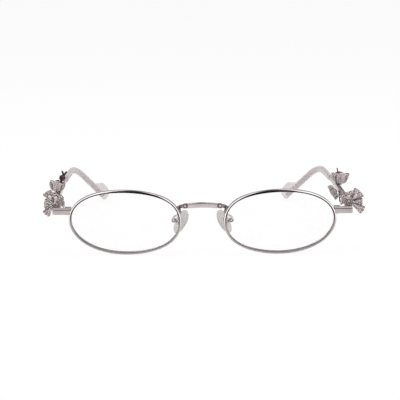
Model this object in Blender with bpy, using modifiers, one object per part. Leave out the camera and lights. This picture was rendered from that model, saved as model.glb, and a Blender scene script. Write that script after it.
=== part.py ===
"""Oval metal eyeglass frame with clear temple tips and crystal blossoms on its temples.

The frame stands on its two rims and its two tips. X runs to the wearer's left, Y runs back
along the temples and Z is up. Lengths are in metres.
"""
import math

import bmesh
import bpy
from mathutils import Matrix, Vector

MM = 0.001
DEGREE = math.pi / 180
SIDES = {"left": 1, "right": -1}

# Fits
SEAT_GAP = 0.12 * MM
RUNNING_GAP = 0.05 * MM
HINGE_GAP = 0.15 * MM

# Front
LENS_WIDTH = 51.2 * MM
LENS_HEIGHT = 30.2 * MM
LENS_SPACING = 21.8 * MM
LENS_THICKNESS = 1.5 * MM
LENS_CURVE_RADIUS = 100 * MM
LENS_EDGE_DEPTH = 0.4 * MM
FRONT_TILT = 8 * DEGREE
FRONT_WRAP = 3.5 * DEGREE
OVAL_SQUARENESS = 0.015
OVAL_NOSE_SQUARENESS = 0.008
RIM_WIDTH = 1.2 * MM
RIM_DEPTH = 1.8 * MM
RIM_ROUNDING = 0.3 * MM
GROOVE_DEPTH = 0.4 * MM
GROOVE_HALF_WIDTH = 0.42 * MM
LENS_RING_SHARES = (0.12, 0.55)
OVAL_STEPS = 48

# Bridge
BRIDGE_HEIGHT = 2.5 * MM
BRIDGE_THICKNESS = 1.2 * MM
BRIDGE_HALF_BAR = 6.8 * MM
BRIDGE_RISE = 9.2 * MM
BRIDGE_ARCH = 0.5 * MM
BRIDGE_FORWARD = 0.7 * MM
BRIDGE_JOIN_ANGLE = 157 * DEGREE
BRIDGE_NECK_SCALE = 0.64
BRIDGE_END_RUN = 0.8 * MM
# shares of the half bar, of the forward bow and of the arch's drop, from the middle outward
BRIDGE_BAR_SHAPE = ((0.0, 1.0, 0.0), (0.5, 1.0, 0.25), (1.0, 0.7, 1.0))
NECK_FORWARD_SHARES = (0.6, -0.2)
NECK_DROP_SHARE = 0.25
COLLAR_LENGTH = 2.1 * MM
COLLAR_WALL = 0.22 * MM
COLLAR_INSET_SHARE = 0.12
FLAT_CHAMFER = 0.25
COLLAR_CHAMFER = 0.12

# Nose pads
PAD_LENGTH = 13 * MM
PAD_WIDTH = 6.9 * MM
PAD_THICKNESS = 2.4 * MM
PAD_CENTRE = Vector((10.3, 7.6, -2.4)) * MM
PAD_LONG_AXIS = Vector((-0.46, -0.10, 0.88)).normalized()
PAD_CROSS_AXIS = Vector((0.62, 0.78, 0.0)).normalized()
PAD_FACE_SHARE = 0.62
PAD_WIDENING = 0.12
PAD_ROCK_SPACE = 0.3 * MM
PAD_BOX_LENGTH = 2.4 * MM
PAD_BOX_WIDTH = 2.6 * MM
PAD_BOX_DEPTH = 1.7 * MM
PAD_BOX_FLOOR = 0.5 * MM
PAD_BOSS_LENGTH = 1.4 * MM
PAD_BOSS_WIDTH = 1.2 * MM
PAD_BOSS_SINK = 0.36 * MM
PAD_SCREW_RADIUS = 0.35 * MM
PAD_SCREW_HEAD_RADIUS = 0.64 * MM
PAD_BORE_SEGMENTS = 10
PAD_ARM_RADIUS = 0.45 * MM
PAD_ARM_JOIN_ANGLE = 171 * DEGREE
PAD_ARM_INSET = 0.1 * MM
PAD_ARM_STRAIGHT = 0.3 * MM
PAD_ARM_LEAVE = 0.9 * MM
PAD_ARM_APPROACH = 0.8 * MM
PAD_ARM_LOOP = Vector((2.0, 0.9, -0.6)) * MM

# End pieces and hinges
HINGE_REACH = 6.7 * MM
END_JOIN_ANGLE = 15.8 * DEGREE
END_HEIGHT = 3.2 * MM
END_THICKNESS = 1.4 * MM
END_CORNER_RADIUS = 1.6 * MM
END_INNER_OVERLAP = 0.3 * MM
LEG_LENGTH = 4.8 * MM
BARREL_RADIUS = 1.1 * MM
WEB_INNER = 0.22 * MM
WEB_SINK = 0.3 * MM
KNUCKLE_HEIGHT = 1.0 * MM
KNUCKLE_SETBACK = 0.1 * MM
WEB_LENGTH = 1.6 * MM
WEB_SETBACK = 0.06 * MM
HINGE_SCREW_RADIUS = 0.45 * MM
SCREW_HEAD_RADIUS = 0.8 * MM
SCREW_HEAD_HEIGHT = 0.4 * MM
LOCK_WIDTH = 3.0 * MM
LOCK_DEPTH = 2.0 * MM
LOCK_SCREW_RADIUS = 0.5 * MM
LOCK_SCREW_SHARE = 0.6
CORNER_STEPS = 4

# Temples
TEMPLE_THICKNESS = 1.2 * MM
TEMPLE_HEIGHT = 2.6 * MM
CORE_THICKNESS = 1.0 * MM
CORE_HEIGHT = 2.2 * MM
SLEEVE_START = 53 * MM
SLEEVE_THICKNESS = 2.4 * MM
SLEEVE_HEIGHT = 3.3 * MM
SLEEVE_MOUTH_SHARE = 0.86
SLEEVE_TAPER = 20 * MM
CORE_END_SPACE = 3.0 * MM
TOE_IN = {"left": 3.3 * DEGREE, "right": -0.6 * DEGREE}
ARM_RISE = 1.9 * DEGREE
ARM_LENGTH = 76.5 * MM
ARM_CURVE = 1.15 * MM
ARM_CURVE_START = 50 * MM
ARM_SHARES = (0.16, 0.33, 0.5, 0.66, 0.78, 0.89)
# the ear bend, in a plane that leans inward
EAR_BEND_RADIUS = 27 * MM
EAR_BEND_ANGLE = 44 * DEGREE
EAR_BEND_LEAN = 27.5 * DEGREE
EAR_BEND_STEPS = 8
TIP_LENGTH = 28 * MM
TIP_SHARES = (0.25, 0.5, 1.0)
# over this share of its points the path's height axis turns inward and back
TIP_TURN_SPAN = (0.4, 0.85)
TIP_TURN = Vector((0.72, 0.15, 0.7))
PATH_STEPS = 3
SECTION_POINTS = 10
SECTION_SQUARING = 0.7
CORE_STEP_SHARE = 0.15
# the long lobe at the tip's end: its length, its reach over the core, how it swells and ends
LOBE_LENGTH = 16 * MM
LOBE_REACH = 4.9 * MM
LOBE_SWELL = 5.5 * MM
LOBE_END = 8 * MM
LOBE_END_BELOW = 2.5 * MM
LOBE_STATIONS = (1.0, 0.92, 0.84, 0.75, 0.65, 0.5, 0.35, 0.22, 0.12, 0.05, 0.015, 0.002)
LOBE_END_THICKNESS = 0.4

# Blossoms
HUB_RADIUS = 1.4 * MM
HUB_BACK = 4.6 * MM
HUB_RISE = 1.2 * MM
PETAL_THICKNESS = 0.8 * MM
PETAL_BASE_HALF_WIDTH = 0.42 * MM
PETAL_CUP = 0.9 * MM
PETAL_SCALLOP = 0.7 * MM
PETAL_SCALLOP_WAVES = 1.5
PETAL_FLARE = 1.15
PETAL_ROUNDING = 0.08
PETAL_END_LIFT = 0.6
PETAL_SIDE_LIFT = 0.7
# name: direction in degrees from outward, forward lean in degrees, length and width
PETALS = {
    "front": (112, 16, 5.9 * MM, 7.4 * MM),
    "upper": (60, -14, 8.2 * MM, 6.2 * MM),
    "outer": (13, 3, 5.0 * MM, 3.8 * MM),
    "lower": (-36, 12, 6.7 * MM, 3.2 * MM),
    "inner": (160, -8, 4.6 * MM, 3.8 * MM),
}
# where the large stones sit, as a share of the petal's length
PETAL_STONES = {"front": 0.62, "upper": 0.5}
STONE_LENGTH = 2.6 * MM
STONE_WIDTH = 1.7 * MM
STONE_HEIGHT = 0.7 * MM
STONE_TABLE_SHARE = 0.6
STEM_RADIUS = 0.6 * MM
STEM_STEPS = 3
STEM_TAIL = 3 * MM
BUD_HEIGHT = 6.0 * MM
BUD_MOUTH_RADIUS = 4.0 * MM
BUD_WALL = 0.6 * MM
BUD_LIP_RISE = 0.18 * MM
BUD_FLOOR = 0.3
# shares of the mouth's radius and of the height, from the foot to the mouth
BUD_PROFILE = ((0.25, 0.0), (0.25, 0.14), (0.5, 0.2), (0.74, 0.44), (0.9, 0.72), (1.0, 1.0))
BUD_INSIDE_FROM = 3
BUD_FLOOR_WAVE = 0.1
BUD_LOBES = 4
BUD_LOBE_SHARE = 0.12
BUD_STEPS = 16
# outward lean of the upper buds, then their place outside, over and along the arm
BUD_LEAN = {"left": 3 * DEGREE, "right": -9 * DEGREE}
BUD_OUTWARD = {"left": 1.8 * MM, "right": 1.9 * MM}
BUD_RISE = {"left": 0.5 * MM, "right": 0.7 * MM}
BUD_BACK = {"left": 42 * MM, "right": 28 * MM}
BUD_SCALE = {"left": 1.0, "right": 0.97}
# the lower bud opens inward and down from the arm's inner side
LOW_BUD_BACK = 33 * MM
LOW_BUD_TURN = 120 * DEGREE
LOW_BUD_WIDTH_SCALE = 0.8
LOW_BUD_HEIGHT_SCALE = 0.42
BEAD_RADIUS = 1.6 * MM
BEAD_LIFT = 0.5 * MM
STALK_RADIUS = 0.5 * MM
WIRE_RADIUS = 0.25 * MM
WIRE_LENGTH = 2.6 * MM
LOW_WIRE_LENGTH = 4.6 * MM
# sideways run of each bud's wire, inward from the upper one and outward from the lower one
UPPER_WIRE_RUN = -1.9 * MM
LOW_WIRE_RUN = 0.6 * MM
WIRE_SPREAD = 0.22
WIRE_OFFSET = 0.5 * MM
# sideways run and share of the length at the middle and the top of the bead's wires
BEAD_WIRE_SHAPE = ((0.0, 0.0), (0.35 * MM, 0.5), (1.0 * MM, 0.9))
BEAD_OFFSET = 2.0 * MM
BEAD_STEPS = 7

# Worked out from the sizes above
LENS_INSET = RIM_WIDTH / 2 - GROOVE_DEPTH + SEAT_GAP
RIM_HALF_WIDTH = LENS_WIDTH / 2 + LENS_INSET
RIM_HALF_HEIGHT = LENS_HEIGHT / 2 + LENS_INSET
LENS_CENTRE_X = (LENS_WIDTH + LENS_SPACING) / 2
RIM_SIDE_ROUNDING = 1.3 * RIM_ROUNDING
BARREL_OFFSET = BARREL_RADIUS + HINGE_GAP
TEMPLE_X = BARREL_OFFSET + TEMPLE_THICKNESS / 2
PETAL_START = HUB_RADIUS + SEAT_GAP
BUD_NECK_RADIUS = BUD_PROFILE[0][0] * BUD_MOUTH_RADIUS
BUD_BORE_RADIUS = BUD_NECK_RADIUS / 2


def clear_scene():
    """Remove everything the new file starts with."""
    for obj in list(bpy.data.objects):
        bpy.data.objects.remove(obj)


def make_collection(name):
    """Add a collection to the scene."""
    collection = bpy.data.collections.new(name)
    bpy.context.scene.collection.children.link(collection)
    return collection


def make_material(name, color, roughness, metallic, transmission=0.0):
    """A plain surface with its colour, roughness and metallic value."""
    material = bpy.data.materials.new(name)
    material.use_nodes = True
    surface = material.node_tree.nodes["Principled BSDF"]
    surface.inputs["Base Color"].default_value = (*color, 1.0)
    surface.inputs["Roughness"].default_value = roughness
    surface.inputs["Metallic"].default_value = metallic
    surface.inputs["Transmission Weight"].default_value = transmission
    return material


def make_materials():
    """The materials of the frame, by name."""
    return {
        "silver": make_material("silver", (0.76, 0.73, 0.72), 0.16, 1.0),
        "screw_steel": make_material("screw_steel", (0.55, 0.54, 0.54), 0.3, 1.0),
        "dark_metal": make_material("dark_metal", (0.05, 0.045, 0.045), 0.12, 1.0),
        "clear_lens": make_material("clear_lens", (0.97, 0.98, 0.98), 0.02, 0.0, 1.0),
        "clear_tip": make_material("clear_tip", (0.88, 0.87, 0.86), 0.12, 0.0, 0.9),
        "clear_silicone": make_material("clear_silicone", (0.86, 0.84, 0.83), 0.25, 0.0, 0.8),
        "crystal": make_material("crystal", (0.88, 0.84, 0.84), 0.05, 0.0, 0.6),
    }


class Builder:
    """Keeps the collections and materials, and adds finished pieces to them."""

    def __init__(self):
        self.parts = make_collection("eyeglass_frame")
        self.cutters = make_collection("cutters")
        self.materials = make_materials()
        self.root = self.add_empty("frame_origin", None, Matrix.Identity(4))

    def add_empty(self, name, parent, matrix):
        """An empty that carries pieces, placed in its parent's frame."""
        empty = bpy.data.objects.new(name, None)
        empty.empty_display_size = 5 * MM
        self.parts.objects.link(empty)
        empty.parent = parent
        empty.matrix_basis = matrix
        return empty

    def add_part(self, name, data, material, parent, matrix=None):
        """A visible piece made from a mesh or a curve."""
        obj = bpy.data.objects.new(name, data)
        self.parts.objects.link(obj)
        data.materials.append(self.materials[material])
        obj.parent = parent
        if matrix is not None:
            obj.matrix_basis = matrix
        return obj

    def add_cutter(self, name, data, parent, matrix=None):
        """A hidden piece that shapes another one."""
        obj = bpy.data.objects.new(name, data)
        self.cutters.objects.link(obj)
        obj.display_type = "WIRE"
        obj.hide_render = True
        obj.parent = parent
        if matrix is not None:
            obj.matrix_basis = matrix
        return obj


def combine(obj, operation, other):
    """Join a hidden piece to a part, or cut it away."""
    modifier = obj.modifiers.new(f"{operation.lower()}_{other.name}", "BOOLEAN")
    modifier.operation = operation
    modifier.object = other


def shade_round(mesh, angle=35 * DEGREE):
    """Smooth shading with the sharp edges kept."""
    mesh.shade_smooth()
    mesh.set_sharp_from_angle(angle=angle)
    return mesh


def mesh_from(bm, name):
    """Turn an edited mesh into a finished one with its faces pointing out."""
    bmesh.ops.recalc_face_normals(bm, faces=bm.faces)
    mesh = bpy.data.meshes.new(name)
    bm.to_mesh(mesh)
    bm.free()
    return shade_round(mesh)


def loft(name, rings, closed=False):
    """A skin through rings of equal counts, capped, or closed round on itself."""
    bm = bmesh.new()
    loops = [[bm.verts.new(point) for point in ring] for ring in rings]
    pairs = list(zip(loops, loops[1:]))
    if closed:
        pairs.append((loops[-1], loops[0]))
    for near, far in pairs:
        for index in range(len(near)):
            following = (index + 1) % len(near)
            bm.faces.new((near[index], near[following], far[following], far[index]))
    if not closed:
        bm.faces.new(loops[0])
        bm.faces.new(loops[-1])
    return mesh_from(bm, name)


def box_mesh(name, low, high):
    """A box between two corners."""
    bm = bmesh.new()
    size = Vector(high) - Vector(low)
    centre = (Vector(high) + Vector(low)) / 2
    matrix = Matrix.Translation(centre) @ Matrix.Diagonal((*size, 1))
    bmesh.ops.create_cube(bm, size=1, matrix=matrix)
    return mesh_from(bm, name)


def cylinder_mesh(name, radius, low, high, segments=14):
    """An upright cylinder between two heights."""
    bm = bmesh.new()
    add_cylinder(bm, radius, low, high, segments)
    return mesh_from(bm, name)


def add_cylinder(bm, radius, low, high, segments=14):
    """Add an upright cylinder to an edited mesh."""
    matrix = Matrix.Translation((0, 0, (low + high) / 2))
    bmesh.ops.create_cone(
        bm, cap_ends=True, segments=segments, radius1=radius, radius2=radius,
        depth=high - low, matrix=matrix)


def turned_mesh(name, profile, segments=12):
    """A solid of revolution about Z from (radius, height) points, axis to axis."""
    bm = bmesh.new()
    verts = [bm.verts.new((radius, 0, height)) for radius, height in profile]
    edges = [bm.edges.new(pair) for pair in zip(verts, verts[1:])]
    bmesh.ops.spin(
        bm, geom=verts + edges, cent=(0, 0, 0), axis=(0, 0, 1), angle=2 * math.pi,
        steps=segments, use_merge=True)
    bmesh.ops.remove_doubles(bm, verts=bm.verts, dist=0.001 * MM)
    return mesh_from(bm, name)


def wire_curve(name, points, radius, resolution=2):
    """A round wire along points."""
    curve = bpy.data.curves.new(name, "CURVE")
    curve.dimensions = "3D"
    curve.bevel_depth = radius
    curve.bevel_resolution = resolution
    curve.use_fill_caps = True
    curve.render_resolution_u = 0
    spline = curve.splines.new("POLY")
    spline.points.add(len(points) - 1)
    for target, point in zip(spline.points, points):
        target.co = (*point, 1)
    return curve


def smooth_points(points, steps=PATH_STEPS):
    """Points read from a smooth curve through the given ones. Short spans don't overshoot."""
    spans = [(far - near).length for near, far in zip(points, points[1:])]
    lines = [(far - near) / span for near, far, span in zip(points, points[1:], spans)]
    slopes = [lines[0]]
    for index in range(1, len(lines)):
        share = spans[index] / (spans[index - 1] + spans[index])
        slopes.append(lines[index - 1] * share + lines[index] * (1 - share))
    slopes.append(lines[-1])
    result = []
    for index, span in enumerate(spans):
        for step in range(steps):
            t = step / steps
            result.append(
                points[index] * (1 + 2 * t) * (1 - t) ** 2
                + slopes[index] * (span * t * (1 - t) ** 2)
                + points[index + 1] * t * t * (3 - 2 * t)
                - slopes[index + 1] * (span * t * t * (1 - t)))
    result.append(points[-1])
    return result


def oval_point(angle, side):
    """A point on the rims' centre line in the front view, angle from the wearer's left."""
    squareness = OVAL_SQUARENESS - side * OVAL_NOSE_SQUARENESS * math.cos(angle)
    scale = 1 / (1 - squareness)
    x = math.cos(angle) - squareness * math.cos(3 * angle)
    z = math.sin(angle) + squareness * math.sin(3 * angle)
    return Vector((x * scale * RIM_HALF_WIDTH, z * scale * RIM_HALF_HEIGHT))


def oval_normal(angle, side):
    """The outward direction of the rims' centre line in the front view."""
    step = 0.001
    tangent = oval_point(angle + step, side) - oval_point(angle - step, side)
    return Vector((tangent.y, -tangent.x)).normalized()


def lens_sag(x, z):
    """How far back the lens surface lies at a place in the front view."""
    return LENS_CURVE_RADIUS - math.sqrt(LENS_CURVE_RADIUS ** 2 - x * x - z * z)


def rim_point(angle, side, outset=0.0, back=0.0, share=1.0):
    """A point beside the rim's centre line in the rim's frame."""
    centre = oval_point(angle, side) * share
    flat = centre + outset * share * oval_normal(angle, side)
    return Vector((flat.x, lens_sag(centre.x, centre.y) + back, flat.y))


def side_angle(angle, side):
    """Mirror an angle from the wearer's left rim to the right one."""
    return angle if side > 0 else math.pi - angle


def rim_matrix(side):
    """The rim's place in the front's frame."""
    turn = Matrix.Rotation(side * FRONT_WRAP, 4, "Z")
    return Matrix.Translation((side * LENS_CENTRE_X, 0, 0)) @ turn


def tilt_matrix():
    """The front's lean, top forward."""
    return Matrix.Rotation(FRONT_TILT, 4, "X")


def front_height():
    """Height of the front's centre when its rims stand on the ground."""
    lowest = 0.0
    for step in range(2 * OVAL_STEPS):
        angle = math.pi * step / OVAL_STEPS
        for back in (-RIM_DEPTH / 2, RIM_DEPTH / 2):
            outset = RIM_WIDTH / 2 - RIM_ROUNDING / 2
            point = tilt_matrix() @ rim_matrix(1) @ rim_point(angle, 1, outset, back)
            lowest = min(lowest, point.z)
    return -lowest


def front_matrix():
    """The front's place in the whole frame."""
    return Matrix.Translation((0, 0, front_height())) @ tilt_matrix()


def rim_section():
    """The rim's cross section: rounded outside, with the lens groove inside."""
    outer = RIM_WIDTH / 2
    half = RIM_DEPTH / 2
    return [
        (outer, half - RIM_SIDE_ROUNDING), (outer, -half + RIM_SIDE_ROUNDING),
        (outer - RIM_ROUNDING, -half), (-outer, -half), (-outer, -GROOVE_HALF_WIDTH),
        (GROOVE_DEPTH - outer, 0), (-outer, GROOVE_HALF_WIDTH), (-outer, half),
        (outer - RIM_ROUNDING, half)]


def swept_ring(name, side, guide):
    """A guide section swept once round the oval. The curve lies flat and stands up later."""
    curve = bpy.data.curves.new(name, "CURVE")
    curve.dimensions = "3D"
    curve.twist_mode = "Z_UP"
    curve.bevel_mode = "OBJECT"
    curve.bevel_object = guide
    curve.render_resolution_u = 0
    spline = curve.splines.new("POLY")
    spline.points.add(OVAL_STEPS - 1)
    spline.use_cyclic_u = True
    for step, target in enumerate(spline.points):
        point = rim_point(2 * math.pi * step / OVAL_STEPS, side)
        target.co = (point.x, point.z, -point.y, 1)
    return curve


def section_guide(builder, name, points):
    """A closed outline that a curve is swept with."""
    curve = bpy.data.curves.new(name, "CURVE")
    curve.dimensions = "2D"
    curve.render_resolution_u = 0
    spline = curve.splines.new("POLY")
    spline.points.add(len(points) - 1)
    spline.use_cyclic_u = True
    for target, point in zip(spline.points, points):
        target.co = (*point, 0, 1)
    return builder.add_cutter(name, curve, builder.root)


def curve_as_mesh(obj):
    """The welded mesh of a curve object, in the object's own frame."""
    bpy.context.view_layer.update()
    graph = bpy.context.evaluated_depsgraph_get()
    mesh = bpy.data.meshes.new_from_object(obj.evaluated_get(graph))
    bm = bmesh.new()
    bm.from_mesh(mesh)
    bmesh.ops.remove_doubles(bm, verts=bm.verts, dist=0.001 * MM)
    bpy.data.meshes.remove(mesh)
    return mesh_from(bm, obj.name)


def split_faces(mesh):
    """Split every face into triangles, so that a bent tube has no warped face."""
    bm = bmesh.new()
    bm.from_mesh(mesh)
    bmesh.ops.triangulate(bm, faces=bm.faces)
    bm.to_mesh(mesh)
    bm.free()


def replace_with_mesh(builder, obj, material=None):
    """Swap a curve object for a mesh object of the same name and place."""
    mesh = curve_as_mesh(obj)
    name, parent, matrix = obj.name, obj.parent, obj.matrix_basis.copy()
    bpy.data.objects.remove(obj)
    mesh.materials.clear()
    if material is None:
        return builder.add_cutter(name, mesh, parent, matrix)
    return builder.add_part(name, mesh, material, parent, matrix)


def add_rims(builder, rim_frames):
    """Both rims, and a slightly fatter ring of each that cuts their neighbours."""
    stand_up = Matrix.Rotation(math.pi / 2, 4, "X")
    guide = section_guide(builder, "rim_section", rim_section())
    reach = RIM_WIDTH / 2 + SEAT_GAP
    depth = RIM_DEPTH / 2 + SEAT_GAP
    cut_outline = [(reach, depth), (reach, -depth), (-reach, -depth), (-reach, depth)]
    cut_guide = section_guide(builder, "rim_cut_section", cut_outline)
    rings = {}
    for word, side in SIDES.items():
        curve = swept_ring(f"rim_{word}", side, guide)
        builder.add_part(f"rim_{word}", curve, "silver", rim_frames[word], stand_up)
        ring = swept_ring(f"rim_clearance_{word}", side, cut_guide)
        cutter = builder.add_cutter(
            f"rim_clearance_{word}", ring, rim_frames[word], stand_up)
        rings[word] = replace_with_mesh(builder, cutter)
    return rings


def add_lenses(builder, rim_frames):
    """Meniscus lenses whose bevelled edges sit in the rims' grooves."""
    shoulder = -RIM_WIDTH / 2 - SEAT_GAP
    apex = -LENS_INSET
    half = LENS_THICKNESS / 2
    edge = min(LENS_EDGE_DEPTH, half)
    steps = [(shoulder, -half), (shoulder, -edge), (apex, 0), (shoulder, edge), (shoulder, half)]
    for word, side in SIDES.items():
        rings = [oval_ring(side, shoulder, -half, share) for share in LENS_RING_SHARES]
        rings += [oval_ring(side, outset, back, 1.0) for outset, back in steps]
        rings += [oval_ring(side, shoulder, half, share)
                  for share in reversed(LENS_RING_SHARES)]
        mesh = loft(f"lens_{word}", rings)
        builder.add_part(f"lens_{word}", mesh, "clear_lens", rim_frames[word])


def oval_ring(side, outset, back, share):
    """One ring of points parallel to the rim."""
    angles = [2 * math.pi * step / OVAL_STEPS for step in range(OVAL_STEPS)]
    return [rim_point(angle, side, outset, back, share) for angle in angles]


def flat_ring(point, up, across, half_up, half_across, chamfer=FLAT_CHAMFER):
    """An eight-sided section round a point of a path."""
    inner = 1 - chamfer
    corners = [(1, inner), (inner, 1), (-inner, 1), (-1, inner),
               (-1, -inner), (-inner, -1), (inner, -1), (1, -inner)]
    return [point + up * (u * half_up) + across * (a * half_across) for u, a in corners]


def path_axes(points, reference):
    """At each point of a path: the way along, and two axes square to it."""
    axes = []
    for index, point in enumerate(points):
        before = points[max(index - 1, 0)]
        after = points[min(index + 1, len(points) - 1)]
        along = (after - before).normalized()
        upward = reference(index / (len(points) - 1))
        up = (upward - along * upward.dot(along)).normalized()
        axes.append((along, up, along.cross(up)))
    return axes


def bridge_path(side):
    """Half of the bridge's centre line, from the middle to the rim, in the front's frame."""
    join = side_angle(BRIDGE_JOIN_ANGLE, side)
    seat = RIM_WIDTH / 2 + SEAT_GAP
    end = rim_matrix(side) @ rim_point(join, side, seat)
    near = rim_matrix(side) @ rim_point(join, side, seat + BRIDGE_END_RUN)
    bar = [Vector((side * BRIDGE_HALF_BAR * run, -BRIDGE_FORWARD * bow,
                   BRIDGE_RISE - BRIDGE_ARCH * drop)) for run, bow, drop in BRIDGE_BAR_SHAPE]
    collar_start = BRIDGE_HALF_BAR + SEAT_GAP
    bar_end = bar[-1].z
    neck_start = Vector((
        side * collar_start, -BRIDGE_FORWARD * NECK_FORWARD_SHARES[0], bar_end))
    neck_end = Vector((
        side * (collar_start + COLLAR_LENGTH), -BRIDGE_FORWARD * NECK_FORWARD_SHARES[1],
        bar_end - (bar_end - near.z) * NECK_DROP_SHARE))
    return [*bar, neck_start, neck_end, near, end]


def bridge_sections(side):
    """The half bridge's path with the half height and half thickness at each point."""
    full = (BRIDGE_HEIGHT / 2, BRIDGE_THICKNESS / 2)
    neck = (full[0] * BRIDGE_NECK_SCALE, full[1] * BRIDGE_NECK_SCALE)
    sizes = [full, full, full, neck, neck, neck, neck]
    return list(zip(bridge_path(side), sizes))


def add_bridge(builder, front):
    """The arched flat bar between the rims, with a collar at each end."""
    right = bridge_sections(-1)
    left = bridge_sections(1)
    stations = list(reversed(right)) + left[1:]
    points = [point for point, _ in stations]
    axes = path_axes(points, lambda share: Vector((0, 0, 1)))
    rings = []
    for (point, (height, thickness)), (_, up, across) in zip(stations, axes):
        rings.append(flat_ring(point, up, across, height, thickness))
    builder.add_part("bridge_bar", loft("bridge_bar", rings), "silver", front)
    for word, side in SIDES.items():
        add_collar(builder, front, word, side)


def add_collar(builder, front, word, side):
    """A rectangular sleeve round the bridge's neck."""
    sections = bridge_sections(side)
    start, size = sections[3]
    end = sections[4][0]
    along = (end - start).normalized()
    axes = path_axes([start, end], lambda share: Vector((0, 0, 1)))
    up, across = axes[0][1], axes[0][2]
    rings = []
    low, high = COLLAR_INSET_SHARE, 1 - COLLAR_INSET_SHARE
    for share, outset in ((low, 0), (low, COLLAR_WALL), (high, COLLAR_WALL), (high, 0)):
        centre = start + along * (share * (end - start).length)
        half_up = size[0] + SEAT_GAP + outset
        half_across = size[1] + SEAT_GAP + outset
        rings.append(flat_ring(centre, up, across, half_up, half_across, COLLAR_CHAMFER))
    mesh = loft(f"bridge_collar_{word}", rings, closed=True)
    builder.add_part(f"bridge_collar_{word}", mesh, "silver", front)


def pad_matrix(side):
    """The pad's frame: long axis up, cross axis back, normal towards the nose."""
    long_axis = PAD_LONG_AXIS.copy()
    cross = (PAD_CROSS_AXIS - long_axis * PAD_CROSS_AXIS.dot(long_axis)).normalized()
    normal = cross.cross(long_axis)
    if normal.x > 0:
        normal.negate()
    centre = PAD_CENTRE.copy()
    for vector in (centre, long_axis, normal):
        vector.x *= side
    rotation = Matrix((normal, long_axis.cross(normal), long_axis)).transposed().to_4x4()
    return Matrix.Translation(centre) @ rotation


def pad_mesh(name):
    """A flattened oval pad, wider above, its face towards +X."""
    bm = bmesh.new()
    bmesh.ops.create_uvsphere(bm, u_segments=14, v_segments=9, radius=1)
    for vert in bm.verts:
        x, y, z = vert.co
        widening = 1 + PAD_WIDENING * z
        thickness = PAD_THICKNESS * (PAD_FACE_SHARE if x > 0 else 1 - PAD_FACE_SHARE)
        vert.co = (x * thickness, y * widening * PAD_WIDTH / 2, z * PAD_LENGTH / 2)
    return mesh_from(bm, name)


def add_nose_pads(builder, front):
    """Each pad with its boss, box, screw and bent wire arm."""
    box_front = -((1 - PAD_FACE_SHARE) * PAD_THICKNESS + PAD_ROCK_SPACE)
    box_back = box_front - PAD_BOX_DEPTH
    screw_x = (box_front + box_back + PAD_BOX_FLOOR) / 2
    for word, side in SIDES.items():
        place = pad_matrix(side)
        axis = place @ Matrix.Translation((screw_x, 0, 0))
        carrier = builder.add_empty(f"pad_axis_{word}", front, axis)
        add_pad(builder, carrier, word, screw_x, box_back)
        add_pad_box(builder, carrier, word, box_front - screw_x, box_back - screw_x)
        add_pad_screw(builder, carrier, word, side)
        add_pad_arm(builder, front, word, side, place, box_back)


def across_pad():
    """Turns an upright shape so that it lies along the pad's cross axis."""
    return Matrix.Rotation(math.pi / 2, 4, "X")


def add_pad(builder, carrier, word, screw_x, box_back):
    """The soft pad with the boss that the screw holds."""
    shift = Matrix.Translation((-screw_x, 0, 0))
    mesh = pad_mesh(f"nose_pad_{word}")
    mesh.transform(shift)
    pad = builder.add_part(f"nose_pad_{word}", mesh, "clear_silicone", carrier)
    boss_back = box_back + PAD_BOX_FLOOR + PAD_ROCK_SPACE - screw_x
    boss_front = -PAD_BOSS_SINK - screw_x
    boss = box_mesh(
        f"pad_boss_{word}",
        (boss_back, -PAD_BOSS_WIDTH / 2, -PAD_BOSS_LENGTH / 2),
        (boss_front, PAD_BOSS_WIDTH / 2, PAD_BOSS_LENGTH / 2))
    combine(pad, "UNION", builder.add_cutter(f"pad_boss_{word}", boss, carrier))
    bore = cylinder_mesh(
        f"pad_bore_{word}", PAD_SCREW_RADIUS + RUNNING_GAP, -PAD_BOX_WIDTH, PAD_BOX_WIDTH,
        PAD_BORE_SEGMENTS)
    bore.transform(across_pad())
    combine(pad, "DIFFERENCE", builder.add_cutter(f"pad_bore_{word}", bore, carrier))


def add_pad_box(builder, carrier, word, front_x, back_x):
    """The metal cage behind the pad, slotted for the boss and bored for the screw."""
    half_width = PAD_BOX_WIDTH / 2
    half_length = PAD_BOX_LENGTH / 2
    mesh = box_mesh(
        f"pad_box_{word}", (back_x, -half_width, -half_length),
        (front_x, half_width, half_length))
    box = builder.add_part(f"pad_box_{word}", mesh, "silver", carrier)
    slot_half = PAD_BOSS_WIDTH / 2 + SEAT_GAP
    slot = box_mesh(
        f"pad_slot_{word}", (back_x + PAD_BOX_FLOOR, -slot_half, -PAD_BOX_LENGTH),
        (front_x + PAD_BOX_DEPTH, slot_half, PAD_BOX_LENGTH))
    combine(box, "DIFFERENCE", builder.add_cutter(f"pad_slot_{word}", slot, carrier))
    combine(box, "DIFFERENCE", builder.cutters.objects[f"pad_bore_{word}"])


def add_pad_screw(builder, carrier, word, side):
    """The little screw that the pad rocks on."""
    half = PAD_BOX_WIDTH / 2
    head = half + SEAT_GAP + SCREW_HEAD_HEIGHT
    mesh = turned_mesh(f"pad_screw_{word}", [
        (0, head), (PAD_SCREW_HEAD_RADIUS, head),
        (PAD_SCREW_HEAD_RADIUS, half + SEAT_GAP), (PAD_SCREW_RADIUS, half + SEAT_GAP),
        (PAD_SCREW_RADIUS, -half), (0, -half)])
    mesh.transform(Matrix.Rotation(-side * math.pi / 2, 4, "X"))
    builder.add_part(f"pad_screw_{word}", mesh, "screw_steel", carrier)


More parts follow.
